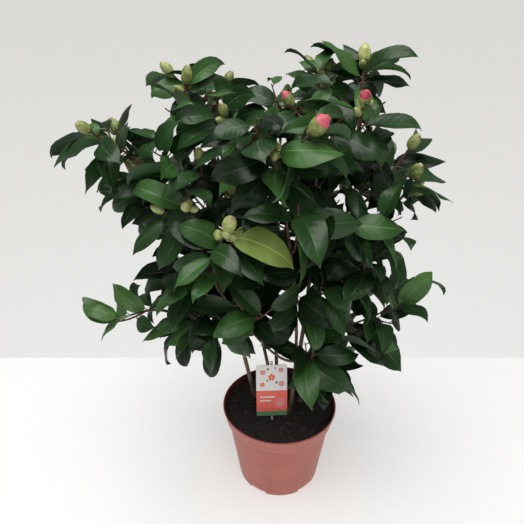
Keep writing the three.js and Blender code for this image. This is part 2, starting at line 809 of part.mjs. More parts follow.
// Leaves and twigs stay out of a shaft that runs up and forward from the card.
function keepLabelInView() {
  const { radius, reach, way, middle, behind, sides } = LABEL.view;
  const start = vector([...LABEL.foot, SOIL.top + LABEL.height * middle]).add(vector([0, behind, 0]));
  const far = start.clone().addScaledVector(vector(way), reach);
  grown.push(guardOf(tube(new THREE.LineCurve3(start, far), () => radius, 1, sides), "label"));
}

// ---------------------------------------------------------------------------------------------
// Assembly
// ---------------------------------------------------------------------------------------------
const plant = new THREE.Group();
const MATERIALS = {
  pot: new THREE.MeshStandardMaterial({ color: 0xa9655a, roughness: 0.5, metalness: 0 }),
  soil: new THREE.MeshStandardMaterial({ color: 0x1f1a18, roughness: 0.95, metalness: 0 }),
  label: new THREE.MeshStandardMaterial({ color: 0xe8746a, roughness: 0.4, metalness: 0 }),
  bark: new THREE.MeshStandardMaterial({ color: 0x7a5240, roughness: 0.8, metalness: 0 }),
  leaf: new THREE.MeshStandardMaterial({ color: 0x1f4a2a, roughness: 0.35, metalness: 0 }),
};

function addPiece(name, geometry, material) {
  const mesh = new THREE.Mesh(geometry, MATERIALS[material]);
  mesh.name = name;
  plant.add(mesh);
}

addPiece("pot", potGeometry(), "pot");
addPiece("soil", soilGeometry(), "soil");
addPiece("label", labelGeometry(), "label");
for (const stem of STEMS) {
  addPiece("stem_" + stem.name, geometryOf(limbs.get(stem.name).shape), "bark");
}
for (const bough of BOUGHS) {
  addPiece("bough_" + bough.name, geometryOf(limbs.get(bough.name + "_bough").shape), "bark");
}
keepLabelInView();
const leaders = MASSES.map(leaderOf);
for (const mass of leaders) addPiece(mass.owner, growMass(mass), "leaf");

export default plant;
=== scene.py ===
import math
import bmesh
import bpy
import numpy as np
from mathutils import Matrix, Vector, noise


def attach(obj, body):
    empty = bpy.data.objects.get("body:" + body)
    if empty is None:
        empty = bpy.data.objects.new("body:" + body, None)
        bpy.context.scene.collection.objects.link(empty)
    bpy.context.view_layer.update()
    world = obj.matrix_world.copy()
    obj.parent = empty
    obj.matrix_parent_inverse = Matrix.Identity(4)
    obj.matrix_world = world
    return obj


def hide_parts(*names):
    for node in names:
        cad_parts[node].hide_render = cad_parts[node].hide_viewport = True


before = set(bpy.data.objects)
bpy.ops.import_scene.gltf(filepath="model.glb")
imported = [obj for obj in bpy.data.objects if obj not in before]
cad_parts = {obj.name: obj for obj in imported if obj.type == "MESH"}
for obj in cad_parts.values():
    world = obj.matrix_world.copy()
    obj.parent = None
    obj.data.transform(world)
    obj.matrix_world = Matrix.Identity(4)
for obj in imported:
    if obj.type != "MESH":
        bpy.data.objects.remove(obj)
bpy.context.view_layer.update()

print("frame loaded:", len(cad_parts), "nodes")

mm = 0.001
tiny = 0.00001  # how far a row may be off its height


def putAllDown():
    if bpy.context.mode != "OBJECT":
        bpy.ops.object.mode_set(mode="OBJECT")
    bpy.ops.object.select_all(action="DESELECT")


def pickUp(*things):
    putAllDown()
    for thing in things:
        thing.select_set(True)
    bpy.context.view_layer.objects.active = things[-1]


def newest(name):  # what was just added, converted or joined
    thing = bpy.context.active_object
    thing.name = name
    thing.data.name = name
    return thing


def editing(thing):
    pickUp(thing)
    bpy.ops.object.mode_set(mode="EDIT")
    bpy.ops.mesh.select_mode(type="VERT")


def doneEditing():
    bpy.ops.object.mode_set(mode="OBJECT")


def choose(thing, kind, test):  # selects vertices, edges or faces by where they are
    mesh = bmesh.from_edit_mesh(thing.data)
    bpy.ops.mesh.select_mode(type={"verts": "VERT", "edges": "EDGE", "faces": "FACE"}[kind])
    bpy.ops.mesh.select_all(action="DESELECT")
    count = 0
    for part in getattr(mesh, kind):
        if test(part):
            part.select_set(True)
            count += 1
    mesh.select_flush_mode()
    bmesh.update_edit_mesh(thing.data)
    return count


def applyAll(thing):
    pickUp(thing)
    for modifier in list(thing.modifiers):
        bpy.ops.object.modifier_apply(modifier=modifier.name)


def addSlots(thing, count):
    while len(thing.data.materials) < count:
        thing.data.materials.append(None)


def fillSlot(thing, number):
    thing.active_material_index = number
    bpy.ops.object.material_slot_assign()


def settle(thing):  # its place goes into its mesh
    pickUp(thing)
    bpy.ops.object.transform_apply(location=True, rotation=True, scale=True)


def smooth(thing, degrees):
    pickUp(thing)
    bpy.ops.object.shade_smooth_by_angle(angle=math.radians(degrees))


def chooseAll():
    bpy.ops.mesh.select_all(action="SELECT")


def faceOutwards():
    chooseAll()
    bpy.ops.mesh.normals_make_consistent(inside=False)


cameraSize = dict(place=(-0.0294, -0.643, 0.715), down=25.5, lens=33.39, sensor=36, nearest=0.01)

bpy.ops.object.camera_add(
    location=cameraSize["place"], rotation=(math.radians(90 - cameraSize["down"]), 0, 0))
camera = newest("studioCamera")
camera.data.lens = cameraSize["lens"]
camera.data.sensor_width = cameraSize["sensor"]
camera.data.clip_start = cameraSize["nearest"]
bpy.context.scene.camera = camera


def startMaterial(name):
    material = bpy.data.materials.new(name)
    material.use_nodes = True
    nodes = material.node_tree.nodes
    return material, nodes, material.node_tree.links, nodes["Principled BSDF"]


def patchColour(nodes, links, shader, coords, scale, low, high, detail=3, stops=(0.35, 0.65)):
    cloud = nodes.new("ShaderNodeTexNoise")
    cloud.inputs["Scale"].default_value = scale
    cloud.inputs["Detail"].default_value = detail
    ramp = nodes.new("ShaderNodeValToRGB")
    for end, stop, colour in zip(ramp.color_ramp.elements, stops, (low, high)):
        end.position = stop
        end.color = (*colour, 1)
    links.new(coords, cloud.inputs["Vector"])
    links.new(cloud.outputs["Fac"], ramp.inputs["Fac"])
    links.new(ramp.outputs["Color"], shader.inputs["Base Color"])
    return cloud.outputs["Fac"]


def spreadValue(nodes, links, source, target, low, high):
    spread = nodes.new("ShaderNodeMapRange")
    spread.inputs["To Min"].default_value = low
    spread.inputs["To Max"].default_value = high
    links.new(source, spread.inputs["Value"])
    links.new(spread.outputs["Result"], target)


def addBump(nodes, links, shader, height, strength, distance):
    bump = nodes.new("ShaderNodeBump")
    bump.inputs["Strength"].default_value = strength
    bump.inputs["Distance"].default_value = distance
    links.new(height, bump.inputs["Height"])
    links.new(bump.outputs["Normal"], shader.inputs["Normal"])


def addGrain(nodes, links, shader, coords, scale, strength, distance, detail=4):
    grain = nodes.new("ShaderNodeTexNoise")
    grain.inputs["Scale"].default_value = scale
    grain.inputs["Detail"].default_value = detail
    links.new(coords, grain.inputs["Vector"])
    addBump(nodes, links, shader, grain.outputs["Fac"], strength, distance)


def objectCoords(nodes):
    return nodes.new("ShaderNodeTexCoord").outputs["Object"]


def uvAxes(nodes, links, name):
    layer = nodes.new("ShaderNodeUVMap")
    layer.uv_map = name
    parts = nodes.new("ShaderNodeSeparateXYZ")
    links.new(layer.outputs["UV"], parts.inputs["Vector"])
    return parts.outputs["X"], parts.outputs["Y"]


def calculator(nodes, links):  # adds nodes that work on numbers and sockets
    def work(operation, *values):
        node = nodes.new("ShaderNodeMath")
        node.operation = operation
        for i, value in enumerate(values):
            if isinstance(value, (int, float)):
                node.inputs[i].default_value = value
            else:
                links.new(value, node.inputs[i])
        return node.outputs[0]
    return work


def paint(nodes, links, base, colour, mask):
    mix = nodes.new("ShaderNodeMix")
    mix.data_type = "RGBA"
    links.new(mask, mix.inputs["Factor"])
    for i, value in ((6, base), (7, colour)):  # the colour sockets
        if isinstance(value, tuple):
            mix.inputs[i].default_value = (*value, 1)
        else:
            links.new(value, mix.inputs[i])
    return mix.outputs[2]


roughSpread = dict(plain=(0.05, 0.07), leaf=(0.06, 0.08))  # how far below and above the middle
leafPrint = dict(patch=22, veins=7, slant=0.45, swell=0.07, depth=0.0008)


def leafFinish(name, low, high, rough, gloss):
    material, nodes, links, shader = startMaterial(name)
    cloud = patchColour(nodes, links, shader, objectCoords(nodes), leafPrint["patch"], low, high)
    below, above = roughSpread["leaf"]
    spreadValue(nodes, links, cloud, shader.inputs["Roughness"], rough - below, rough + above)
    work = calculator(nodes, links)
    across, along = uvAxes(nodes, links, "leafUv")
    fromRib = work("ABSOLUTE", work("SUBTRACT", across, 0.5))
    slanted = work("MULTIPLY_ADD", fromRib, -leafPrint["slant"], along)  # the side veins run forward
    swell = work("SINE", work("MULTIPLY", slanted, 2 * math.pi * leafPrint["veins"]))
    addBump(nodes, links, shader, swell, leafPrint["swell"], leafPrint["depth"])
    shader.inputs["Specular IOR Level"].default_value = gloss
    return material


def plainFinish(name, low, high, rough, scale=60, bump=0.0, bumpScale=300, bumpDistance=0.0004):
    material, nodes, links, shader = startMaterial(name)
    coords = objectCoords(nodes)
    cloud = patchColour(nodes, links, shader, coords, scale, low, high)
    below, above = roughSpread["plain"]
    spreadValue(nodes, links, cloud, shader.inputs["Roughness"], rough - below, rough + above)
    if bump:
        addGrain(nodes, links, shader, coords, bumpScale, bump, bumpDistance)
    return material


leafTints = dict(
    deep=dict(low=(0.0040, 0.0130, 0.0042), high=(0.0080, 0.0240, 0.0068), rough=0.29, gloss=0.22),
    mid=dict(low=(0.0110, 0.0350, 0.0100), high=(0.0220, 0.0640, 0.0165), rough=0.30, gloss=0.3),
    bright=dict(low=(0.0280, 0.0800, 0.0190), high=(0.0480, 0.1280, 0.0300), rough=0.33, gloss=0.3),
    fresh=dict(low=(0.0560, 0.1350, 0.0340), high=(0.0860, 0.1950, 0.0500), rough=0.36, gloss=0.32),
    young=dict(low=(0.190, 0.270, 0.055), high=(0.300, 0.390, 0.100), rough=0.42, gloss=0.3),
)
leafUpper = {tint: leafFinish("leafUpper_" + tint, **look) for tint, look in leafTints.items()}


def palerFinish(name, look, gains, lifts, **rest):  # out of the upper side's two colours
    low, high = ([part * gain + lift for part in look[end]]
                 for end, gain, lift in zip(("low", "high"), gains, lifts))
    return plainFinish(name, low, high, **rest)


leafUnder = {tint: palerFinish("leafUnder_" + tint, look, (1.9, 1.9), (0.012, 0.016), rough=0.58,
                               scale=30, bump=0.1, bumpScale=900) for tint, look in leafTints.items()}
leafRib = {tint: palerFinish("leafRib_" + tint, look, (1.5, 1.7), (0.005, 0.012), rough=0.4, scale=40)
           for tint, look in leafTints.items()}
petioleFinish = plainFinish("petiole", (0.070, 0.095, 0.028), (0.130, 0.120, 0.045), rough=0.5, scale=50)
twigFinish = plainFinish("twigBark", (0.075, 0.032, 0.022), (0.150, 0.072, 0.046), rough=0.62, scale=60,
                         bump=0.4, bumpScale=700)
barkFinish = plainFinish("stemBark", (0.125, 0.078, 0.052), (0.270, 0.185, 0.130), rough=0.78, scale=45,
                         bump=0.6, bumpScale=420, bumpDistance=0.0006)
budFinish = plainFinish("budScale", (0.150, 0.190, 0.050), (0.330, 0.360, 0.125), rough=0.44, scale=170)
budLightFinish = plainFinish("budScaleLight", (0.320, 0.385, 0.115), (0.560, 0.600, 0.250), rough=0.44,
                             scale=170)
budShadeFinish = plainFinish("budScaleShade", (0.085, 0.095, 0.028), (0.180, 0.180, 0.058), rough=0.5,
                             scale=150)
budPaleFinish = plainFinish("budTipPale", (0.380, 0.340, 0.160), (0.560, 0.500, 0.270), rough=0.44,
                            scale=150)
petalFinish = plainFinish("petalPink", (0.520, 0.055, 0.105), (0.730, 0.180, 0.210), rough=0.5, scale=200)


# the shrub's own growth rule, in millimetres
gap = 0.35
up = np.array([0.0, 0.0, 1.0])
steep = 0.97  # beyond this rise a run counts as upright
nearby = 0.0001  # the step along a curve that gives its direction
curveSteps = 200
light = np.array([0.0, -0.6, 0.8])  # where the leaves turn their upper sides
soilTop = 137
limbShape = dict(sides=5, stemSteps=9, boughSteps=5, stemTip=0.5, boughTip=0.62, flare=1.8,
                 flareShare=0.02, guard=1, seat=0.92, run=0.4, bend=0.17)
stemRows = [  # name, foot, knee, tip, thickness
    ("west", (-42, 26), (-78, 4, 330), (-122, -8, 602), 7.2),
    ("northwest", (-9, 40), (-50, 78, 330), (-98, 84, 586), 6.4),
    ("centre", (-2, 14), (-14, 8, 380), (-4, 22, 590), 6.6),
    ("front", (16, -10), (36, -46, 330), (-8, -96, 548), 6),
    ("mideast", (20, 6), (44, -52, 380), (44, 8, 632), 6.2),
    ("east", (36, 12), (92, -8, 360), (98, 12, 640), 7),
    ("northeast", (24, 36), (58, 88, 340), (68, 96, 594), 6.4),
]
boughRows = [  # name, the stem it leaves, at what share of it, tip, thickness
    ("far_west", "west", 0.74, (-172, -24, 545), 4.2),
    ("low_west", "west", 0.34, (-166, -20, 334), 3.8),
    ("front_west", "front", 0.3, (-84, -84, 405), 4.4),
    ("low_front", "front", 0.16, (28, -70, 268), 3.4),
    ("low_east", "east", 0.33, (148, -22, 335), 4),
    ("far_east", "east", 0.56, (140, -2, 478), 4.4),
]
massRows = [  # name, limb, at, tip, shoots, leaves, buds, seed, own limits
    ("top_east", "east", 1, (99, 18, 676), 0, 7, 3, 67, dict(room=72, droop=-0.2)),
    ("top_mideast", "mideast", 1, (52, 26, 668), 0, 7, 4, 28, dict(droop=-0.15, room=64)),
    ("top_west", "west", 1, (-124, -2, 652), 0, 7, 3, 48, dict(room=60, droop=-0.25)),
    ("top_inner_west", "west", 0.86, (-86, -8, 648), 0, 7, 4, 46, dict(droop=-0.15, room=66)),
    ("far_west", "far_west", 1, (-220, -30, 588), 2, 8, 4, 52, dict(drop=62, droop=-0.05)),
    ("outer_east", "east", 0.72, (162, -6, 574), 1, 8, 1, 42, dict(droop=-0.1)),
    ("far_east", "far_east", 1, (176, -4, 520), 1, 8, 2, 46, dict(drop=50)),
    ("low_east", "low_east", 1, (176, -24, 354), 1, 7, 0, 104, dict(drop=20, headroom=54, room=84)),
    ("low_west", "low_west", 1, (-230, -24, 330), 1, 7, 0, 89, dict(drop=14, headroom=50)),
    ("upper_east", "east", 0.84, (87, -62, 636), 1, 7, 4, 85, dict(room=80)),
    ("upper_mideast", "mideast", 0.84, (52, -66, 628), 1, 6, 3, 103, {}),
    ("top_centre", "centre", 1, (22, -6, 630), 2, 6, 2, 113, {}),
    ("upper_west", "centre", 0.8, (-73, -54, 624), 2, 6, 3, 207, {}),
    ("shoulder_west", "west", 0.78, (-158, -46, 604), 1, 6, 0, 71, dict(droop=0.1)),
    ("inner_west", "west", 0.68, (-104, -66, 572), 1, 6, 1, 139, {}),
    ("front_top", "front", 1, (-17, -128, 602), 2, 6, 5, 210, {}),
    ("front_middle", "front_west", 1, (-70, -124, 506), 1, 7, 6, 202, {}),
    ("front_east", "front", 0.8, (10, -144, 546), 1, 6, 1, 222, {}),
    ("front_west", "far_west", 0.3, (-117, -96, 524), 2, 6, 4, 163, {}),
    ("side_west", "far_west", 0.66, (-190, -52, 532), 1, 6, 1, 90, dict(drop=40, room=80)),
    ("middle_west", "west", 0.52, (-150, -58, 430), 2, 7, 0, 181, {}),
    ("hanging_west", "low_west", 0.6, (-130, -72, 366), 1, 6, 0, 193, dict(drop=66)),
    ("low_middle", "front_west", 0.6, (-62, -122, 414), 2, 6, 0, 407, dict(drop=62)),
    ("skirt_west", "low_west", 0.3, (-84, -80, 362), 1, 6, 0, 203, dict(drop=58)),
    ("low_front", "low_front", 1, (40, -100, 318), 1, 6, 0, 303, dict(drop=60, room=80)),
    ("skirt_east", "low_front", 0.5, (66, -84, 288), 1, 6, 0, 127, dict(drop=74, room=80)),
    ("hanging_east", "low_east", 0.55, (108, -70, 338), 1, 6, 0, 102, dict(drop=60, room=84)),
    ("inner_front", "mideast", 0.4, (14, -92, 412), 2, 6, 0, 227, {}),
    ("inner_east", "mideast", 0.48, (78, -78, 424), 2, 6, 0, 233, {}),
    ("middle_east", "far_east", 0.5, (98, -62, 458), 1, 6, 0, 82, dict(drop=70, room=78)),
    ("front_right", "mideast", 0.6, (70, -112, 516), 2, 6, 0, 251, {}),
    ("back_top_west", "northwest", 1, (-112, 98, 636), 2, 6, 3, 266, {}),
    ("back_top_east", "northeast", 1, (78, 112, 642), 2, 6, 3, 271, {}),
    ("back_centre", "centre", 0.72, (-16, 136, 592), 2, 6, 2, 283, {}),
    ("back_west", "northwest", 0.66, (-172, 112, 520), 2, 5, 2, 294, {}),
    ("back_east", "northeast", 0.62, (152, 108, 512), 2, 5, 2, 307, {}),
    ("back_middle", "northwest", 0.5, (-48, 150, 474), 2, 5, 1, 313, {}),
    ("back_inner_east", "northeast", 0.48, (56, 158, 456), 2, 5, 0, 331, {}),
    ("back_low_west", "northwest", 0.34, (-132, 92, 384), 2, 5, 0, 347, {}),
    ("back_low_east", "northeast", 0.3, (132, 96, 378), 2, 5, 0, 359, {}),
    ("back_low_centre", "centre", 0.36, (2, 112, 372), 1, 5, 0, 368, {}),
]
twigShape = dict(sides=3, leaderSteps=3, shootSteps=2, root=2.3, tip=1.4, side=1.7, length=(34, 54),
                 start=0.45, end=0.86, lean=(46, 62), spiral=137.5, nextTurn=50, knee=0.5, lift=0.25,
                 bare=0.25, guard=1.6, tries=6)
leafShapes = dict(length=(60, 80), slender=(0.46, 0.57), petiole=8, stalk=0.55, thick=1.1, fold=7,
                  arch=(20, 64), lean=(84, 56), stray=8, spiral=144, sway=14, roll=34, sag=(0.05, 0.45),
                  climb=(-0.8, 0.75), outward=0.3, faceOut=0.2, faceTip=0.25, leafy=78, bare=0.3,
                  first=0.6, last=0.97, guard=1.1, guardFrom=0.6, tries=16, shrink=0.015, shoot=4,
                  stations=((0.3, 1), (0.7, 0.78)))
budShapes = dict(length=(17, 28), slender=0.58, belly=0.42, sides=4, stalk=2.5, upright=12, spread=50,
                 stray=(-10, 14), sink=1.5, pitch=3.5, lesser=0.62, onShoot=2.4)
crownLimits = dict(room=92, headroom=34, drop=90, droop=0, lowest=152)
labelView = dict(foot=(-13, -33), back=20, height=88, way=(0, -0.85, 0.52), radius=48, reach=140, sides=8)


seriesStep, seriesRange = 16807, 2147483647


def series(seed, skipped=0):  # a repeatable series of numbers
    state = [seed]

    def draw(low, high):
        state[0] = state[0] * seriesStep % seriesRange
        return low + (high - low) * state[0] / seriesRange
    for _ in range(skipped):
        draw(0, 1)
    return draw


def unit(v):
    return v / math.sqrt(v @ v)


def blendOf(low, high, share):
    return low + (high - low) * share


class Curve:  # a quadratic curve through its start and tip, pulled by its knee
    def __init__(self, start, knee, tip):
        self.start, self.knee, self.tip = (np.array(p, float) for p in (start, knee, tip))

    def point(self, t):
        return self.start * (1 - t) ** 2 + self.knee * 2 * t * (1 - t) + self.tip * t * t

    def way(self, t):
        return unit(self.point(min(t + nearby, 1)) - self.point(max(t - nearby, 0)))

    def length(self):
        points = np.array([self.point(i / curveSteps) for i in range(curveSteps + 1)])
        return float(np.linalg.norm(np.diff(points, axis=0), axis=1).sum())


def anySide(along):
    reference = np.array([1.0, 0, 0]) if abs(along[2]) > steep else up
    return unit(np.cross(reference, along))


def ringAt(centre, along, side, radius, count):
    other = np.cross(along, side)
    return [centre + side * radius * math.cos(2 * math.pi * i / count)
            + other * radius * math.sin(2 * math.pi * i / count) for i in range(count)]


def loft(rings):
    faces, first = [], 0
    for near, far in zip(rings, rings[1:]):
        following, around = first + len(near), max(len(near), len(far))
        for j in range(around):
            k = (j + 1) % around
            if len(near) > 1 and len(far) > 1:
                faces += [(first + j, first + k, following + k), (first + j, following + k, following + j)]
            elif len(near) > 1:
                faces.append((first + j, first + k, following))
            else:
                faces.append((first, following + k, following + j))
        first = following
    faces += [(0, j + 1, j) for j in range(1, len(rings[0]) - 1)]
    faces += [(first, first + j, first + j + 1) for j in range(1, len(rings[-1]) - 1)]
    return np.array([p for ring in rings for p in ring]), np.array(faces)


def tubeShape(curve, radiusAt, steps, sides):
    side, rings = anySide(curve.way(0)), []
    for i in range(steps + 1):
        t = i / steps
        along = curve.way(t)
        side = unit(side - along * (side @ along))
        rings.append(ringAt(curve.point(t), along, side, radiusAt(t), sides))
    return loft(rings)


grown = []  # each grown shape keeps a guard round it, which later shapes stay out of


def guardOf(shape, owner):
    points, faces = shape
    pairs = np.concatenate([faces[:, [0, 1]], faces[:, [1, 2]], faces[:, [2, 0]]])
    edges = np.unique(np.sort(pairs, axis=1), axis=0)
    corner = points[faces[:, 0]]
    sideA, sideB = points[faces[:, 1]] - corner, points[faces[:, 2]] - corner
    return dict(owner=owner, low=points.min(0), high=points.max(0), starts=points[edges[:, 0]],
                ways=points[edges[:, 1]] - points[edges[:, 0]], corner=corner, sideA=sideA, sideB=sideB,
                normal=np.cross(sideA, sideB))


def edgesCut(starts, ways, corner, sideA, sideB, normal):
    facing = ways @ normal.T
    sign = np.sign(facing)
    gapTo = starts[:, None, :] - corner[None]
    a = sign * np.einsum("ek,efk->ef", ways, np.cross(gapTo, sideB[None]))
    b = sign * np.einsum("ek,efk->ef", ways, np.cross(sideA[None], gapTo))
    t = -sign * np.einsum("efk,fk->ef", gapTo, normal)
    size = np.abs(facing)
    return bool(((size > 0) & (a >= 0) & (b >= 0) & (a + b <= size) & (t >= 0) & (t <= size)).any())


def isFree(guard, besides):
    near = [other for other in grown if other["owner"] not in besides
            and (guard["low"] <= other["high"]).all() and (guard["high"] >= other["low"]).all()]
    if not near:
        return True
    joined = {key: np.concatenate([other[key] for other in near])
              for key in ("starts", "ways", "corner", "sideA", "sideB", "normal")}
    own = [guard[key] for key in ("corner", "sideA", "sideB", "normal")]
    theirs = [joined[key] for key in ("corner", "sideA", "sideB", "normal")]
    return not (edgesCut(guard["starts"], guard["ways"], *theirs)
                or edgesCut(joined["starts"], joined["ways"], *own))


limbs = {}


def branchCurve(limb, at, tip):  # in line with the limb's tip, or out of its side
    centre, along = limb["curve"].point(at), limb["curve"].way(at)
    toTip = np.array(tip, float) - centre
    out = along if at == 1 else unit(toTip - along * (along @ toTip))
    start = centre + out * (gap if at == 1 else limb["radiusAt"](at) * limbShape["seat"] + gap)
    bend = limbShape["run"] if at == 1 else limbShape["bend"]
    return Curve(start, start + out * math.sqrt(toTip @ toTip) * bend, tip)


def addLimb(name, curve, radiusAt, steps, root, end):
    limbs[name] = dict(curve=curve, radiusAt=radiusAt, root=root, end=end)
    guarded = tubeShape(curve, lambda t: radiusAt(t) + limbShape["guard"], steps, limbShape["sides"])
    grown.append(guardOf(guarded, "limb_" + name))


def stemRadius(thick):
    return lambda t: (blendOf(thick, thick * limbShape["stemTip"], t) / 2
                      + limbShape["flare"] * math.exp(-t / limbShape["flareShare"]))


def boughRadius(thick):
    return lambda t: blendOf(thick, thick * limbShape["boughTip"], t) / 2


for name, foot, knee, tip, thick in stemRows:
    addLimb(name, Curve((*foot, soilTop + gap), knee, tip), stemRadius(thick), limbShape["stemSteps"],
            thick / 2, thick / 2 * limbShape["stemTip"])
for name, on, at, tip, thick in boughRows:
    addLimb(name + "_bough", branchCurve(limbs[on], at, tip), boughRadius(thick), limbShape["boughSteps"],
            thick / 2, thick / 2 * limbShape["boughTip"])


def coarseLeaf(leaf, extra):
    base, along, upper = leaf["base"], leaf["along"], leaf["upper"]
    across, fold = np.cross(upper, along), math.radians(leafShapes["fold"])
    arch, length = math.radians(leaf["arch"]), leaf["length"]

    def at(share):
        bend = arch * share
        centre = (base + along * (leafShapes["petiole"] + length * math.sin(bend) / arch)
                  - upper * (length * (1 - math.cos(bend)) / arch))
        return centre, along * math.sin(bend) + upper * math.cos(bend)

    def section(centre, normal, half, deep):
        lift = normal * (half * math.sin(fold) + extra)
        return [centre + across * half * math.cos(fold) + lift,
                centre - across * half * math.cos(fold) + lift, centre - normal * (deep + extra)]

    start = base + along * (leafShapes["petiole"] * leafShapes["guardFrom"] if extra > 0 else 0)
    rings = [section(start, upper, leafShapes["stalk"], leafShapes["stalk"])]
    for share, spread in leafShapes["stations"]:
        centre, normal = at(share)
        rings.append(section(centre, normal, spread * leaf["width"] / 2 + extra, leafShapes["thick"]))
    centre, normal = at(1)
    rings.append([centre - normal * leafShapes["thick"] / 2])
    return loft(rings)


def coarseBud(base, along, length):
    def at(share):
        return base + along * (budShapes["stalk"] + share * length)
    radius = budShapes["slender"] * length / 2
    ring = ringAt(at(budShapes["belly"]), along, anySide(along), radius, budShapes["sides"])
    return loft([[base], ring, [at(1)]])


def branchOff(along, turn, lean):
    side = anySide(along)
    other = np.cross(along, side)
    return (along * math.cos(math.radians(lean))
            + side * math.sin(math.radians(lean)) * math.cos(math.radians(turn))
            + other * math.sin(math.radians(lean)) * math.sin(math.radians(turn)))


def turnedAbout(v, axis, degrees):
    angle = math.radians(degrees)
    return (v * math.cos(angle) + np.cross(axis, v) * math.sin(angle)
            + axis * (axis @ v) * (1 - math.cos(angle)))


def keepsToRoom(shape, mass):
    points = shape[0]
    return bool((points[:, 2] > max(crownLimits["lowest"], mass["centre"][2] - mass["drop"])).all()
                and (points[:, 2] < mass["centre"][2] + mass["headroom"]).all()
                and (np.linalg.norm(points - mass["centre"], axis=1) < mass["room"]).all())


leaves, buds, shoots = [], [], []


def growLeaf(draw, base, axis, turn, share, mass, scale=1.0, tries=None):
    fullSize, slender = draw(*leafShapes["length"]) * scale, draw(*leafShapes["slender"])
    for attempt in range(tries or leafShapes["tries"]):
        size = fullSize * (1 - leafShapes["shrink"] * attempt)
        spin = turn + draw(-1, 1) * leafShapes["sway"] * (1 + attempt)
        lean = blendOf(*leafShapes["lean"], share) + draw(-leafShapes["stray"], leafShapes["stray"])
        outward = unit(np.array([base[0], base[1], 0.0]))
        droop = mass["droop"] + draw(*leafShapes["sag"])
        along = branchOff(axis, spin, lean) + outward * leafShapes["outward"] - up * droop
        along[2] = min(max(along[2], leafShapes["climb"][0]), leafShapes["climb"][1])
        along = unit(along)
        facing = light + outward * leafShapes["faceOut"] + axis * leafShapes["faceTip"]
        upper = unit(facing - along * (facing @ along))
        upper = turnedAbout(upper, along, draw(-leafShapes["roll"], leafShapes["roll"]))
        leaf = dict(base=base, along=along, upper=upper, length=size, width=size * slender,
                    arch=draw(*leafShapes["arch"]), mass=mass["name"])
        if not keepsToRoom(coarseLeaf(leaf, 0), mass):
            continue
        guard = guardOf(coarseLeaf(leaf, leafShapes["guard"]), mass["owner"] + "_leaf")
        if not isFree(guard, [mass["owner"]]):
            continue
        grown.append(guard)
        leaf["order"] = len(leaves)
        leaves.append(leaf)
        return leaf
    return None


def dressShoot(draw, curve, start, leafCount, budCount, mass):
    turn = draw(0, 360)
    for i in range(leafCount):
        share = (i + leafShapes["first"]) / leafCount
        t = start + (1 - start) * share * leafShapes["last"]
        growLeaf(draw, curve.point(t), curve.way(t), turn, share, mass)
        turn += leafShapes["spiral"]
    end, along = curve.point(1), curve.way(1)
    for i in range(budCount):
        lean = draw(0, budShapes["upright"]) if i == 0 else budShapes["spread"] + draw(*budShapes["stray"])
        way = branchOff(along, turn + 360 * i / budCount, lean)
        base = end - along * (budShapes["sink"] + budShapes["pitch"] * i)
        length = draw(*budShapes["length"]) * (1 if i == 0 else budShapes["lesser"])
        guard = guardOf(coarseBud(base, way, length), mass["owner"] + "_leaf")
        if not isFree(guard, [mass["owner"], mass["owner"] + "_leaf"]):
            continue
        grown.append(guard)
        buds.append(dict(base=base, along=way, length=length, mass=mass["name"], order=len(buds)))


def offshoot(draw, carrier, at, turn, lengths, leans, lift):  # a short curve that rises from a longer one
    base, length = carrier.point(at), draw(*lengths)
    way = branchOff(carrier.way(at), turn, draw(*leans))
    return Curve(base, base + way * length * twigShape["knee"], base + way * length + up * length * lift)


def growShoot(draw, leader, t, turn, mass):
    steps, sides = twigShape["shootSteps"], twigShape["sides"]

    def radiusAt(s):
        return blendOf(twigShape["side"], twigShape["tip"], s)
    for attempt in range(twigShape["tries"]):
        curve = offshoot(draw, leader, t, turn + attempt * twigShape["nextTurn"], twigShape["length"],
                         twigShape["lean"], twigShape["lift"])
        guarded = tubeShape(curve, lambda s: radiusAt(s) + twigShape["guard"], steps, sides)
        guard = guardOf(guarded, mass["owner"])
        shape = tubeShape(curve, radiusAt, steps, sides)
        if not keepsToRoom(shape, mass) or not isFree(guard, [mass["owner"]]):
            continue
        grown.append(guard)
        return curve
    return None


def leaderOf(row):
    name, on, at, tip, shootCount, leafCount, budCount, seed, own = row
    curve = branchCurve(limbs.get(on) or limbs[on + "_bough"], at, tip)
    owner = "foliage_" + name
    root, end = twigShape["root"] + twigShape["guard"], twigShape["tip"] + twigShape["guard"]
    steps, sides = twigShape["leaderSteps"], twigShape["sides"]
    guarded = tubeShape(curve, lambda t: blendOf(root, end, t), steps, sides)
    grown.append(guardOf(guarded, owner))
    return {**crownLimits, **own, "name": name, "shoots": shootCount, "leaves": leafCount,
            "buds": budCount, "seed": seed, "owner": owner, "limb": "", "curve": curve,
            "centre": np.array(tip, float)}


def growMass(mass):
    draw = series(mass["seed"])
    turn, found = draw(0, 360), []
    for i in range(mass["shoots"]):
        t = blendOf(twigShape["end"], twigShape["start"], (i + 0.5) / mass["shoots"])
        shoot = growShoot(draw, mass["curve"], t, turn, mass)
        if shoot:
            found.append(shoot)
        turn += twigShape["spiral"]
    start = max(leafShapes["bare"], 1 - leafShapes["leafy"] / mass["curve"].length())
    dressShoot(draw, mass["curve"], start, mass["leaves"], mass["buds"], mass)
    for shoot in found:
        budCount = math.floor(draw(0, budShapes["onShoot"]) + 0.5) if mass["buds"] > 0 else 0
        dressShoot(draw, shoot, twigShape["bare"], leafShapes["shoot"], budCount, mass)
    mass["side"] = found
    shoots.extend(found)


def keepLabelInView():
    foot = labelView["foot"]
    middle = np.array([foot[0], foot[1] + labelView["back"], soilTop + labelView["height"] / 2])
    far = middle + np.array(labelView["way"]) * labelView["reach"]
    line = Curve(middle, (middle + far) / 2, far)
    shaft = tubeShape(line, lambda t: labelView["radius"], 1, labelView["sides"])
    grown.append(guardOf(shaft, "label"))


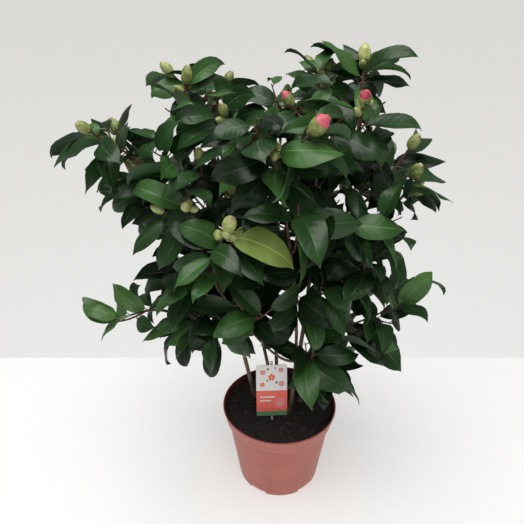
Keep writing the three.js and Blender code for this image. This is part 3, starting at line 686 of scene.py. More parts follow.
fineShape = dict(length=(18, 38), root=1.2, tip=0.8, leaves=3, scale=0.84, first=0.7, tries=8,
                 leafTries=7, guard=1.0, lift=0.2, along=(0.2, 0.92), lean=(40, 65), leader=5, shoot=2,
                 low=560, rise=24, rich=("side_west", "middle_west"), more=2, sink=34, seed=5003,
                 bare=("low_west", "low_east", "far_east", "outer_east", "front_east"))
innerShape = dict(length=(24, 52), leaves=4, scale=0.95, spacing=17, start=0.36, end=0.97, stray=(0.2, 0.8),
                  centre=0.72, room=150, headroom=110, drop=190, droop=0.1, seed=9001, seedStep=61,
                  bare="low_front_bough")
openings = dict(  # nothing more grows here: across, back, height and radius of each place
    through=(  # the wall behind shows through the crown
        (-117, -20, 540, 10), (-109, -20, 452, 9), (96, -20, 496, 17), (141, -20, 577, 9),
        (-15, -20, 356, 12), (27, -20, 356, 12), (87, -20, 330, 13), (-70, -20, 236, 20),
        (-44, -20, 233, 18), (-13, -20, 208, 26), (195, -20, 470, 18), (192, -20, 427, 16),
        (199, -20, 289, 17)),
    before=((-30, -130, 488, 18), (-17, -132, 608, 12)),  # buds and the new leaf stay in view
    ahead=200, beyond=260, least=0.1, sides=6)
fineTwigs = []


def keepOpen():
    for kind, beyond in (("through", openings["beyond"]), ("before", openings["least"])):
        for *middle, radius in openings[kind]:
            middle = np.array(middle, float)
            way = unit(middle - np.array(cameraSize["place"]) / mm)
            line = Curve(middle - way * openings["ahead"], middle, middle + way * beyond)
            shaft = tubeShape(line, lambda t: radius, 1, openings["sides"])
            grown.append(guardOf(shaft, "opening"))


def growTwig(draw, carrier, at, turn, shape, mass):  # a finer twig with its own leaves, if it finds room
    for attempt in range(fineShape["tries"]):
        twig = offshoot(draw, carrier, at, turn + attempt * twigShape["nextTurn"], shape["length"],
                        fineShape["lean"], fineShape["lift"])
        guarded = tubeShape(twig, lambda t: fineShape["root"] + fineShape["guard"],
                            twigShape["shootSteps"], twigShape["sides"])
        guard = guardOf(guarded, mass["owner"])
        if not keepsToRoom(guarded, mass) or not isFree(guard, [mass["owner"], mass["limb"]]):
            continue
        grown.append(guard)
        spin, before = draw(0, 360), len(leaves)
        for i in range(shape["leaves"]):
            share = (i + fineShape["first"]) / shape["leaves"] * leafShapes["last"]
            growLeaf(draw, twig.point(share), twig.way(share), spin, share, mass, shape["scale"],
                     fineShape["leafTries"])
            spin += leafShapes["spiral"]
        if len(leaves) > before:
            fineTwigs.append(twig)
        return


def growFine(mass):  # finer twigs where there is still room
    if mass["name"] in fineShape["bare"]:
        return
    if mass["centre"][2] < fineShape["low"]:
        mass = {**mass, "headroom": mass["headroom"] + fineShape["rise"]}
    more = 1
    if mass["name"] in fineShape["rich"]:
        mass, more = {**mass, "drop": mass["drop"] + fineShape["sink"]}, fineShape["more"]
    draw = series(mass["seed"] + fineShape["seed"])
    carriers = [(mass["curve"], fineShape["leader"])] + [(s, fineShape["shoot"]) for s in mass["side"]]
    for carrier, count in carriers:
        for i in range(count * more):
            at, turn = draw(*fineShape["along"]), draw(0, 360)
            growTwig(draw, carrier, at, turn, fineShape, mass)


def growInner(number, name):  # short twigs off a limb, which fill the middle of the crown
    limb = limbs[name]
    draw, curve = series(innerShape["seed"] + innerShape["seedStep"] * number), limb["curve"]
    mass = dict(name="inner", owner="inner_" + name, limb="limb_" + name,
                centre=curve.point(innerShape["centre"]), room=innerShape["room"],
                headroom=innerShape["headroom"], drop=innerShape["drop"], droop=innerShape["droop"])
    leafy = curve.length() * (innerShape["end"] - innerShape["start"])
    count, turn = int(leafy / innerShape["spacing"]), 0
    for i in range(count):
        at = blendOf(innerShape["start"], innerShape["end"], (i + draw(*innerShape["stray"])) / count)
        growTwig(draw, curve, at, turn, innerShape, mass)
        turn += twigShape["spiral"]


youngShape = dict(mass="front_middle", at=0.95, along=(0.93, -0.28, 0.02), length=86, width=42, arch=46,
                  bends=(0.5, 0.3, -0.15, 0.35, 0))  # curl, crease, twist, bow and turn


def growYoung(mass):  # one new leaf beside the buds, paler than the rest
    along = unit(np.array(youngShape["along"]))
    leaf = dict(base=mass["curve"].point(youngShape["at"]), along=along,
                upper=unit(light - along * (light @ along)), length=youngShape["length"],
                width=youngShape["width"], arch=youngShape["arch"], mass=mass["name"], order=len(leaves))
    grown.append(guardOf(coarseLeaf(leaf, leafShapes["guard"]), mass["owner"] + "_leaf"))
    leaves.append(leaf)
    return leaf


keepLabelInView()
masses = [leaderOf(row) for row in massRows]
for mass in masses:
    growMass(mass)
print("as in the solids:", len(leaves), "leaves")
youngLeaf = growYoung(next(mass for mass in masses if mass["name"] == youngShape["mass"]))
keepOpen()
for mass in masses:
    growFine(mass)
print("with finer twigs:", len(leaves), "leaves")
for number, name in enumerate(list(limbs)):
    if name != innerShape["bare"]:
        growInner(number, name)
print("grown:", len(leaves), "leaves,", len(buds), "buds,", len(shoots), "shoots")


barkSize = dict(stemSides=12, stemSteps=64, boughSteps=40, twigSides=6, twigSteps=14, sunk=3,
                footShare=0.05, stemRelief=(0.0007, 0.0045), boughRelief=(0.00049, 0.0036),
                join=0.000002, sideTip=0.8, twigRelief=(0.0004, 0.004),  # height, breadth of its ridges
                ridges=(("Ridge", 1, 1), ("Fine", 0.35, 0.45)))  # share of the breadth, of the height


def splitCurve(curve, t):  # the control points of the two parts of a curve
    a = curve.start + (curve.knee - curve.start) * t
    b = curve.knee + (curve.tip - curve.knee) * t
    return (curve.start, a, curve.point(t)), (curve.point(t), b, curve.tip)


def addTubes(name, tubes, resolution, sides, finish):  # a tube: (start, knee, tip, radius, radius) rows
    putAllDown()
    bpy.ops.curve.primitive_bezier_curve_add()
    thing = newest(name)
    line = thing.data
    line.splines.clear()
    line.dimensions = "3D"
    line.bevel_depth = mm
    line.bevel_resolution = sides // 2 - 2
    line.use_fill_caps = True
    line.resolution_u = resolution
    for tube in tubes:
        spline = line.splines.new("BEZIER")
        spline.bezier_points.add(len(tube))
        for i, (start, knee, tip, first, last) in enumerate(tube):
            here, there = spline.bezier_points[i], spline.bezier_points[i + 1]
            here.handle_left_type = here.handle_right_type = "FREE"
            there.handle_left_type = there.handle_right_type = "FREE"
            here.co, there.co = Vector(start) * mm, Vector(tip) * mm
            here.handle_right = Vector(start + (knee - start) * 2 / 3) * mm  # both handles out of one knee
            there.handle_left = Vector(tip + (knee - tip) * 2 / 3) * mm
            here.radius, there.radius = first, last
        first, last = spline.bezier_points[0], spline.bezier_points[-1]
        first.handle_left = first.co * 2 - first.handle_right
        last.handle_right = last.co * 2 - last.handle_left
    pickUp(thing)
    bpy.ops.object.convert(target="MESH")
    thing = newest(name)
    editing(thing)
    chooseAll()
    bpy.ops.mesh.remove_doubles(threshold=barkSize["join"])
    faceOutwards()
    doneEditing()
    thing.data.materials.append(finish)
    return thing


def wholeTube(curve, root, tip):
    return [(curve.start, curve.knee, curve.tip, root, tip)]


def straightTube(start, end, root, tip):
    return [(start, (start + end) / 2, end, root, tip)]


def barkRelief(thing, height, breadth):  # broad ridges and finer ones on them
    for name, scale, share in barkSize["ridges"]:
        texture = bpy.data.textures.new(thing.name + name, "CLOUDS")
        texture.noise_scale = breadth * scale
        relief = thing.modifiers.new(name, "DISPLACE")
        relief.texture = texture
        relief.strength = height * share
        relief.mid_level = 0.5
    applyAll(thing)


def limbTube(limb, sunk):  # its foot swells where it goes into the soil
    start, root = limb["curve"].start, limb["root"]
    foot, rest = splitCurve(limb["curve"], barkSize["footShare"])
    above = blendOf(root, limb["end"], barkSize["footShare"])
    if not sunk:
        return [(*foot, root, above), (*rest, above, limb["end"])]
    down, swollen = np.array([0, 0, -sunk]), root + limbShape["flare"]
    return [(start + down, start + down / 2, start, swollen, swollen), (*foot, swollen, above),
            (*rest, above, limb["end"])]


stemTubes = [limbTube(limbs[row[0]], barkSize["sunk"]) for row in stemRows]
stems = addTubes("stems", stemTubes, barkSize["stemSteps"], barkSize["stemSides"], barkFinish)
barkRelief(stems, *barkSize["stemRelief"])
smooth(stems, degrees=60)
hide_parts(*["stem_" + row[0] for row in stemRows])
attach(stems, "root")

boughTubes = [limbTube(limbs[row[0] + "_bough"], 0) for row in boughRows]
boughs = addTubes("boughs", boughTubes, barkSize["boughSteps"], barkSize["stemSides"], barkFinish)
barkRelief(boughs, *barkSize["boughRelief"])
smooth(boughs, degrees=60)
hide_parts(*["bough_" + row[0] for row in boughRows])
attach(boughs, "root")

sideTip = twigShape["tip"] * barkSize["sideTip"]
twigTubes = [wholeTube(mass["curve"], twigShape["root"], twigShape["tip"]) for mass in masses]
twigTubes += [wholeTube(shoot, twigShape["side"], sideTip) for shoot in shoots]
twigTubes += [wholeTube(twig, fineShape["root"], fineShape["tip"]) for twig in fineTwigs]
twigs = addTubes("twigs", twigTubes, barkSize["twigSteps"], barkSize["twigSides"], twigFinish)
barkRelief(twigs, *barkSize["twigRelief"])
smooth(twigs, degrees=70)
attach(twigs, "root")
print("bark:", sum(len(thing.data.polygons) for thing in (stems, boughs, twigs)), "faces")


def copiesOf(name, pattern, shapes, finishes, slots=None):  # one mesh of many shaped copies
    count = len(shapes[0])
    polygons = [list(p.vertices) for p in pattern.data.polygons]
    faces = [[number * count + i for i in p] for number in range(len(shapes)) for p in polygons]
    mesh = bpy.data.meshes.new(name)
    mesh.from_pydata(np.concatenate(shapes).tolist(), [], faces)
    for finish in finishes:
        mesh.materials.append(finish)
    if slots:
        mesh.polygons.foreach_set("material_index", slots)
    mesh.update()
    thing = bpy.data.objects.new(name, mesh)
    bpy.context.scene.collection.objects.link(thing)
    return thing


def pointsOf(pattern):
    return np.array([v.co for v in pattern.data.vertices])


def slotsOf(pattern):
    return [p.material_index for p in pattern.data.polygons]


# one leaf is modelled flat, then each copy is bent into its own arch
leafSize = dict(
    rows=((0, 0.04), (0.05, 0.37), (0.12, 0.68), (0.22, 0.92), (0.34, 1), (0.47, 1), (0.6, 0.92),
          (0.71, 0.77), (0.8, 0.55), (0.88, 0.28), (0.945, 0.1), (1, 0)),  # share of length, of half width
    columns=5, rib=0.04, thick=0.011, depth=60, least=0.05, steps=40, seed=7919, seedStep=131,
    curl=(6, 96), curlFrom=0.62, cup=(0.0, 0.5), crease=(4, 56), flatter=0.45, turn=(-32, 32),
    twist=(-55, 55), bow=(-30, 30), wave=(0.03, 0.17), waves=9.5, phases=(0, 6.28), otherSide=1.7,
    stalk=(0.95, 0.7), stalkOver=1)


def flatLeaf():
    putAllDown()
    last, inner, thick = len(leafSize["rows"]) - 1, 1 / leafSize["columns"], leafSize["thick"]
    aside, close, join, hair = 4, 0.0001, 0.0005, 0.001
    bpy.ops.mesh.primitive_grid_add(x_subdivisions=leafSize["columns"], y_subdivisions=last, size=2)
    leaf = newest("flatLeaf")
    editing(leaf)
    choose(leaf, "verts", lambda v: abs(abs(v.co.x) - inner) < inner / 2)  # the lines beside the midrib
    bpy.ops.transform.resize(value=(leafSize["rib"] / inner, 1, 1), center_override=(0, 0, 0))
    for i, (along, half) in enumerate(leafSize["rows"]):
        place = -1 + 2 * i / last
        choose(leaf, "verts", lambda v: abs(v.co.y - place) < close)
        bpy.ops.transform.resize(value=(max(half, hair), 1, 1), center_override=(0, place, 0))
        bpy.ops.transform.translate(value=(0, aside + along - place, 0))  # finished rows wait aside
    chooseAll()
    bpy.ops.transform.translate(value=(0, -aside, 0))
    doneEditing()
    addSlots(leaf, 3)
    editing(leaf)
    choose(leaf, "faces", lambda f: abs(f.calc_center_median().x) < leafSize["rib"] / 2)
    fillSlot(leaf, 1)  # the midrib
    chooseAll()
    bpy.ops.mesh.extrude_region_move(TRANSFORM_OT_translate={"value": (0, 0, -thick)})
    choose(leaf, "faces", lambda f: f.calc_center_median().z < -thick * 0.9)
    fillSlot(leaf, 2)  # the underside

    def onMargin(v):
        return v.co.z < -thick / 2 and any(f.calc_center_median().z > -thick * 0.9 for f in v.link_faces)
    choose(leaf, "verts", onMargin)
    bpy.ops.transform.translate(value=(0, 0, thick))  # the margin closes to an edge
    chooseAll()
    bpy.ops.mesh.remove_doubles(threshold=join)
    choose(leaf, "verts", lambda v: v.co.y > 1 - hair)
    bpy.ops.mesh.merge(type="CENTER")

    def underRib(e):  # the eastern of the two lines
        a, b = (v.co for v in e.verts)
        return (max(a.z, b.z) < -thick / 3 and min(abs(a.x), abs(b.x)) < leafSize["rib"] * 1.5
                and abs(a.y - b.y) > leafSize["rib"] / 2 and a.x + b.x > 0)
    choose(leaf, "edges", underRib)
    bpy.ops.mesh.dissolve_edges(use_verts=False)  # one line is enough under the midrib
    faceOutwards()
    doneEditing()
    return leaf


leafModel = flatLeaf()
print("one leaf:", len(leafModel.data.vertices), "points,", len(leafModel.data.polygons), "faces")


def halfWidthAt(share):
    places, widths = zip(*leafSize["rows"])
    return np.interp(share, places, widths)


def bentLeaf(leaf, points):  # the flat leaf's points bent to this leaf's arch
    draw = series(leafSize["seed"] + leafSize["seedStep"] * leaf["order"], 3)
    curl = math.radians(draw(*leafSize["curl"]))  # how much further the tip bends down
    cup, crease = draw(*leafSize["cup"]), math.radians(draw(*leafSize["crease"]))
    wave, phase = draw(*leafSize["wave"]), draw(*leafSize["phases"])
    twist, bow, turned = (math.radians(draw(*leafSize[key])) for key in ("twist", "bow", "turn"))
    if leaf is youngLeaf:
        curl, crease, twist, bow, turned = youngShape["bends"]
    length, half = leaf["length"], leaf["width"] / 2
    steps = np.linspace(0, 1, leafSize["steps"] + 1)
    late = np.clip((steps - leafSize["curlFrom"]) / (1 - leafSize["curlFrom"]), 0, 1)
    bends = math.radians(leaf["arch"]) * steps + curl * late ** 2
    halfway, step = (bends[1:] + bends[:-1]) / 2, length / leafSize["steps"]
    forward = np.concatenate([[0], np.cumsum(np.cos(halfway))]) * step
    drop = np.concatenate([[0], np.cumsum(np.sin(halfway))]) * step
    share = np.clip(points[:, 1], 0, 1)
    ahead, fall, bend = (np.interp(share, steps, line) for line in (forward, drop, bends))
    along, upper = leaf["along"], leaf["upper"]
    across = np.cross(along, upper)
    centre = leaf["base"] + np.outer(leafShapes["petiole"] + ahead, along) - np.outer(fall, upper)
    centre = centre + np.outer(np.tan(bow * share) * share * length / 2, across)
    normal = np.outer(np.sin(bend), along) + np.outer(np.cos(bend), upper)
    turn = turned + twist * share
    side = np.outer(np.cos(turn), across) + normal * np.sin(turn)[:, None]
    normal = normal * np.cos(turn)[:, None] - np.outer(np.sin(turn), across)
    out = points[:, 0]
    reach = np.abs(out) * half
    width = np.maximum(halfWidthAt(share), leafSize["least"])
    edge = np.clip(np.abs(out) / width, 0, 1)
    folded = crease * (1 - leafSize["flatter"] * share)
    ripple = np.sin(share * leafSize["waves"] + phase + np.where(out > 0, 0, leafSize["otherSide"]))
    lift = reach * np.sin(folded) + (wave * ripple - cup) * half * width * edge ** 2
    return (centre + side * (np.sign(out) * reach * np.cos(folded))[:, None]
            + normal * (lift + points[:, 2] * leafSize["depth"])[:, None])


def leafPiece(name, chosen, tint):
    flat = pointsOf(leafModel)
    shapes = [bentLeaf(leaf, flat) * mm for leaf in chosen]
    thing = copiesOf(name, leafModel, shapes, (leafUpper[tint], leafRib[tint], leafUnder[tint]),
                     slotsOf(leafModel) * len(chosen))
    halves = np.maximum(halfWidthAt(flat[:, 1]), leafSize["least"])
    uv = np.stack([0.5 + flat[:, 0] / (2 * halves), flat[:, 1]], axis=1)
    oneLeaf = np.concatenate([uv[list(p.vertices)] for p in leafModel.data.polygons])
    layer = thing.data.uv_layers.new(name="leafUv")
    layer.data.foreach_set("uv", np.tile(oneLeaf, (len(chosen), 1)).ravel())
    smooth(thing, degrees=75)
    return thing


def middleOf(leaf):
    return leaf["base"] + leaf["along"] * (leafShapes["petiole"] + leaf["length"] / 2)


tintAndShadeRule = dict(  # the leaves' colours by turns, with painted light (lighter greens on the top sprays) and painted shade (the darkest green inside the crown), and where the crown's inside ends
    top=("mid", "mid", "bright", "mid", "bright"),
    outer=("mid", "mid", "mid", "mid", "deep", "bright", "mid", "deep", "bright"),
    fresh=dict(low_west=3, low_east=2),  # on these sprays all but every third or second leaf is new
    middle=np.array([-30, 0, 450]), reach=np.array([230, 160, 230]), inside=0.74)


def tintOf(leaf):
    if leaf is youngLeaf:
        return "young"
    # painted shade: the inner twigs' leaves, deep in the crown, get the darkest green
    if leaf["mass"] == "inner":
        return "deep"
    if leaf["mass"] in tintAndShadeRule["fresh"]:
        return "fresh" if leaf["order"] % tintAndShadeRule["fresh"][leaf["mass"]] else "mid"
    # painted light: the top and upper sprays get lighter greens, where the light from above falls
    if leaf["mass"].startswith(("top_", "upper_")):
        return tintAndShadeRule["top"][leaf["order"] % len(tintAndShadeRule["top"])]
    if np.linalg.norm((middleOf(leaf) - tintAndShadeRule["middle"]) / tintAndShadeRule["reach"]) < tintAndShadeRule["inside"]:
        return "deep"  # painted shade: the leaves inside the crown get the darkest green
    return tintAndShadeRule["outer"][leaf["order"] % len(tintAndShadeRule["outer"])]


for tint in leafTints:
    chosen = [leaf for leaf in leaves if tintOf(leaf) == tint]
    piece = leafPiece("leaves_" + tint, chosen, tint)
    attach(piece, "root")
    if tint == "deep":
        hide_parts(*["foliage_" + row[0] for row in massRows])
    print("leaves", tint, len(chosen), "with", len(piece.data.polygons), "faces")


petioleTubes = []
for leaf in leaves:
    end = leaf["base"] + leaf["along"] * (leafShapes["petiole"] + leafSize["stalkOver"])
    petioleTubes.append(straightTube(leaf["base"], end, *leafSize["stalk"]))
petioles = addTubes("petioles", petioleTubes, resolution=2, sides=4, finish=petioleFinish)
smooth(petioles, degrees=70)
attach(petioles, "root")
bpy.data.objects.remove(leafModel)


# one bud is modelled with its overlapping scales, then copied
budSize = dict(
    sides=12, rings=10, slender=0.58, foot=0.13, petals=0.6, tip=0.87, seed=4241, seedStep=97,
    pinches=((0.976, 0.55), (0.905, 0.7), (0.794, 0.84), (0.655, 0.95)),  # height, share of the girth
    scales=((0, 0.12, 0.9, 0.02975), (4, 0.1, 0.74, 0.028), (8, 0.08, 0.6, 0.02625),
            (10, 0.05, 0.42, 0.0245)),  # first side, foot, top, and how far it stands out
    scaleSides=4.2, small=14, girth=(0.9, 1.08), smallGirth=(1.1, 1.4), sunk=0.5,
    near=0.03, stalk=(1.5, 3.5, 1.1, 1.3), opening=("front_top", "upper_mideast", "upper_east"),
    light=("front_middle", "front_west", "upper_east"), lightEvery=5)


def budModel():
    putAllDown()
    bpy.ops.mesh.primitive_uv_sphere_add(segments=budSize["sides"], ring_count=budSize["rings"],
                                         radius=0.5, location=(0, 0, 0.5))
    bud = newest("budModel")
    settle(bud)
    editing(bud)
    chooseAll()
    slender = budSize["slender"]
    bpy.ops.transform.resize(value=(slender, slender, 1), center_override=(0, 0, 0))
    for height, pinch in budSize["pinches"]:  # pointed above
        choose(bud, "verts", lambda v: abs(v.co.z - height) < budSize["near"])
        bpy.ops.transform.resize(value=(pinch, pinch, 1), center_override=(0, 0, height))
    addSlots(bud, 4)
    choose(bud, "faces", lambda f: f.calc_center_median().z > budSize["petals"])
    fillSlot(bud, 3)  # what shows as petals on an opening bud
    choose(bud, "faces", lambda f: f.calc_center_median().z > budSize["tip"])
    fillSlot(bud, 2)
    for start, low, high, lift in budSize["scales"]:
        first = 2 * math.pi * start / budSize["sides"]

        def onScale(f):
            middle = f.calc_center_median()
            angle = (math.atan2(middle.y, middle.x) - first) % (2 * math.pi)
            span = 2 * math.pi * budSize["scaleSides"] / budSize["sides"]
            return angle < span and low < middle.z < high
        if choose(bud, "faces", onScale):
            bpy.ops.mesh.extrude_region_shrink_fatten(TRANSFORM_OT_shrink_fatten={"value": lift})
    doneEditing()
    editing(bud)
    choose(bud, "faces", lambda f: f.calc_center_median().z < budSize["foot"])
    fillSlot(bud, 1)
    doneEditing()
    return bud


budPattern = budModel()
print("one bud:", len(budPattern.data.polygons), "faces")


def placedBud(bud, flat):
    draw = series(budSize["seed"] + budSize["seedStep"] * bud["order"], 3)
    along, size = bud["along"], bud["length"]
    side = turnedAbout(anySide(along), along, draw(0, 360))
    other = np.cross(along, side)
    girth = size * draw(*budSize["girth" if size > budSize["small"] else "smallGirth"])
    foot = bud["base"] + along * (budShapes["stalk"] - budSize["sunk"])
    return (foot + np.outer(flat[:, 0] * girth, side) + np.outer(flat[:, 1] * girth, other)
            + np.outer(flat[:, 2] * size, along))


def budSlots(bud, opening):  # the pattern's slots are scales, foot, tip and petals
    light = bud["mass"] in budSize["light"] or bud["order"] % budSize["lightEvery"] == 0
    scales = 4 if light else 0
    slotFor = (scales, 1, 3, 3) if opening else (scales, 1, 2, scales)
    return [slotFor[number] for number in slotsOf(budPattern)]


openBuds = []  # the longest bud of three masses begins to open
for name in budSize["opening"]:
    ofMass = [bud for bud in buds if bud["mass"] == name]
    openBuds.append(max(ofMass, key=lambda bud: bud["length"])["order"])
flatBud = pointsOf(budPattern)
slots = [number for bud in buds for number in budSlots(bud, bud["order"] in openBuds)]
budThing = copiesOf("buds", budPattern, [placedBud(bud, flatBud) * mm for bud in buds],
                    (budFinish, budShadeFinish, budPaleFinish, petalFinish, budLightFinish), slots)
smooth(budThing, degrees=50)
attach(budThing, "root")
bpy.data.objects.remove(budPattern)
near, far, *thickness = budSize["stalk"]
stalkTubes = [[(bud["base"], *(bud["base"] + bud["along"] * out for out in (near, far)), *thickness)]
              for bud in buds]
budStalks = addTubes("budStalks", stalkTubes, resolution=2, sides=6, finish=budShadeFinish)
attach(budStalks, "root")
print("buds:", len(buds))


potSize = dict(height=0.146, foot=0.0685, shoulder=0.086, collar=0.090, rim=0.095, collarHeight=0.024,
               step=0.0025, wall=0.002, floor=0.0025, edge=0.002, sides=120, wallRows=(0.03, 0.06, 0.09),
               collarRows=((-0.0006, 0), (0, 0.0012), (0.002, 0.010)),  # past its radius, above its foot
               lipRows=((-0.0012, -0.004), (0, -0.0022), (0, -0.0008), (-0.0008, 0)),  # from the rim's top
               lipInside=((0, 0), (-0.0006, -0.0012)), innerRise=0.001,
               notches=5, notchTurn=24, firstNotch=40, notchTop=0.0075, notchDeep=0.005, notchFoot=0.004,
               inward=-0.0001, presses=((1.0, 0.55), (0.72, 0.45)))  # share of a notch, of its depth

potFinish, nodes, links, shader = startMaterial("terracottaPlastic")
coords = objectCoords(nodes)
cloud = patchColour(nodes, links, shader, coords, scale=26, low=(0.445, 0.120, 0.090),
                    high=(0.495, 0.145, 0.110))
spreadValue(nodes, links, cloud, shader.inputs["Roughness"], low=0.40, high=0.50)
addGrain(nodes, links, shader, coords, scale=1400, strength=0.08, distance=0.0003, detail=2)
# painted shade: the pot's inner wall gets a far darker red than its outside
potInsideShadeFinish = plainFinish("terracottaInside", (0.120, 0.022, 0.020), (0.175, 0.036, 0.032),
                              rough=0.45, scale=40)


def raiseRings(rows):  # from ring to ring, each a radius and a height, with a face on the last
    for (r0, z0), (r1, z1) in zip(rows, rows[1:]):
        bpy.ops.mesh.extrude_region_move(TRANSFORM_OT_translate={"value": (0, 0, z1 - z0)})
        bpy.ops.transform.resize(value=(r1 / r0, r1 / r0, 1), center_override=(0, 0, z1))
    bpy.ops.mesh.edge_face_add()


def makePot():
    s = potSize
    under = s["height"] - s["collarHeight"]

    def wallAt(z):
        return s["foot"] + (s["shoulder"] - s["foot"]) * z / (under - s["step"])
    profile = [(s["foot"] - s["edge"], 0), (s["foot"], s["edge"])]
    profile += [(wallAt(z), z) for z in (s["notchTop"], *s["wallRows"])]
    profile.append((s["shoulder"], under - s["step"]))
    profile += [(s["collar"] + out, under + rise) for out, rise in s["collarRows"]]
    profile += [(s["rim"] + out, s["height"] + rise) for out, rise in s["lipRows"]]
    inside = [(s["rim"] + out, s["height"] + rise) for out, rise in s["lipInside"]]
    inside += [(s["collar"], under + s["innerRise"]), (s["shoulder"], under - s["step"] + s["innerRise"])]
    inside += [(wallAt(z), z) for z in (s["notchTop"], s["floor"])]
    profile += [(r - s["wall"], z) for r, z in inside]
    putAllDown()
    bpy.ops.mesh.primitive_circle_add(vertices=s["sides"], radius=profile[0][0], location=(0, 0, 0))
    pot = newest("potShell")
    editing(pot)
    chooseAll()
    raiseRings(profile)
    choose(pot, "edges", lambda e: all(abs(v.co.z) < tiny for v in e.verts))
    bpy.ops.mesh.edge_face_add()
    for i in range(s["notches"]):  # each drain notch is pressed in from the foot
        turn = math.radians(s["firstNotch"] - 90 + 360 * i / s["notches"])
        middle = Vector((math.cos(turn), math.sin(turn), 0))
        for wide, share in s["presses"]:
            def inNotch(v):
                angle = Vector((v.co.x, v.co.y, 0)).angle(middle, 9)
                return v.co.z < s["notchFoot"] and angle < math.radians(s["notchTurn"] / 2 * wide)
            choose(pot, "verts", inNotch)
            bpy.ops.transform.translate(value=-middle * s["notchDeep"] * share)
    faceOutwards()
    doneEditing()
    pot.data.materials.append(potFinish)
    pot.data.materials.append(potInsideShadeFinish)
    # painted shade: faces turned inwards take the darker inside red
    for face in pot.data.polygons:
        middle = face.center
        radial = Vector((middle.x, middle.y, 0))
        if face.normal.dot(radial) < s["inward"] and middle.z > s["notchFoot"]:
            face.material_index = 1
    smooth(pot, degrees=35)
    return pot


pot = makePot()
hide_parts("pot")
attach(pot, "root")
print("pot:", len(pot.data.polygons), "faces")


soilSize = dict(top=0.137, radius=0.0903, sides=132, rings=34, bank=0.020, dish=0.0015,
                side=((0.060, 0.010), (0.0815, 0.118), (0.0872, 0.1245), (0.0893, 0.132)),  # up the wall
                lumps=((0.3, 70, 0.0032), (0.7, 190, 0.0016), (0.1, 420, 0.0008)))  # level, scale, height
crumbSize = dict(count=520, seed=60013, inside=0.003, least=0.0006, more=0.0022, fewLarge=2.5, flat=0.7,
                 rough=(0.7, 1.2), wide=(0.8, 1.5), raised=0.25)
fibreSize = dict(count=90, seed=70001, inside=0.010, length=(0.004, 0.015), lifts=(0.0002, 0.0004),
                 middleLift=(0.0006, 0.0022), stray=(-0.003, 0.003), thick=(0.16, 0.34), taper=0.6)

soilFinish, nodes, links, shader = startMaterial("pottingSoil")
coords = objectCoords(nodes)
cloud = patchColour(nodes, links, shader, coords, scale=260, low=(0.0155, 0.0130, 0.0140),
                    high=(0.062, 0.051, 0.051), detail=6, stops=(0.36, 0.74))
spreadValue(nodes, links, cloud, shader.inputs["Roughness"], low=0.82, high=0.96)
addGrain(nodes, links, shader, coords, scale=900, strength=0.9, distance=0.0012, detail=6)
crumbFinish = plainFinish("soilCrumb", (0.014, 0.010, 0.009), (0.075, 0.052, 0.040), rough=0.9, scale=400,
                          bump=0.6, bumpScale=1200)
fibreFinish = plainFinish("soilFibre", (0.130, 0.085, 0.058), (0.400, 0.300, 0.220), rough=0.8, scale=300)


def soilHeight(x, y):
    s = soilSize
    r = math.hypot(x, y)
    fall = s["dish"] * max(0, (r - (s["radius"] - s["bank"])) / s["bank"])
    lumps = sum(noise.noise(Vector((x, y, level)) * scale) * height for level, scale, height in s["lumps"])
    return s["top"] - fall + lumps


def makeSoil():
    s = soilSize
    putAllDown()
    radius, foot = s["side"][0]
    bpy.ops.mesh.primitive_circle_add(vertices=s["sides"], radius=radius, location=(0, 0, foot))
    soil = newest("soilBed")
    settle(soil)
    editing(soil)
    chooseAll()
    rings = s["rings"] + 1
    raiseRings([*s["side"], *[(s["radius"] * (1 - i / rings), s["top"]) for i in range(rings)]])
    bpy.ops.mesh.poke()
    choose(soil, "edges", lambda e: all(v.co.z < foot + tiny for v in e.verts))
    bpy.ops.mesh.edge_face_add()
    faceOutwards()
    doneEditing()
    for vertex in soil.data.vertices:
        if vertex.co.z > s["top"] - tiny:
            vertex.co.z = soilHeight(vertex.co.x, vertex.co.y)
    soil.data.materials.append(soilFinish)
    smooth(soil, degrees=80)
    return soil


soil = makeSoil()
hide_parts("soil")
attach(soil, "root")


def placeOn(draw, inside):  # anywhere on the soil
    r, turn = (soilSize["radius"] - inside) * math.sqrt(draw(0, 1)), draw(0, 2 * math.pi)
    return r * math.cos(turn), r * math.sin(turn)


def makeCrumbs():
    s = crumbSize
    putAllDown()
    bpy.ops.mesh.primitive_ico_sphere_add(subdivisions=1, radius=1)
    pattern = newest("crumbPattern")
    ball, draw, shapes = pointsOf(pattern), series(s["seed"]), []
    for _ in range(s["count"]):
        x, y = placeOn(draw, s["inside"])
        size = s["least"] + s["more"] * draw(0, 1) ** s["fewLarge"]
        rough = np.array([[draw(*s["rough"]) for _ in range(3)] for _ in ball])
        spread = np.array([draw(*s["wide"]), draw(*s["wide"]), s["flat"]])
        place = np.array([x, y, soilHeight(x, y) + size * s["raised"]])
        shapes.append(ball * rough * size * spread + place)
    thing = copiesOf("soilCrumbs", pattern, shapes, [crumbFinish])
    bpy.data.objects.remove(pattern)
    return thing


crumbs = makeCrumbs()
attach(crumbs, "root")


def makeFibres():
    s = fibreSize
    draw, tubes = series(s["seed"]), []
    for _ in range(s["count"]):
        x, y = placeOn(draw, s["inside"])
        length, way = draw(*s["length"]), draw(0, 2 * math.pi)
        middleLift, points = draw(*s["middleLift"]), []
        for side, lift in ((-1, s["lifts"][0]), (0, middleLift), (1, s["lifts"][1])):
            px, py = x + side * length / 2 * math.cos(way), y + side * length / 2 * math.sin(way)
            if side == 0:
                px, py = px + draw(*s["stray"]), py + draw(*s["stray"])
            points.append(np.array([px, py, soilHeight(px, py) + lift]) / mm)
        thick = draw(*s["thick"])
        tubes.append([(*points, thick, thick * s["taper"])])
    return addTubes("soilFibres", tubes, resolution=5, sides=4, finish=fibreFinish)


fibres = makeFibres()
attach(fibres, "root")
print("soil done")


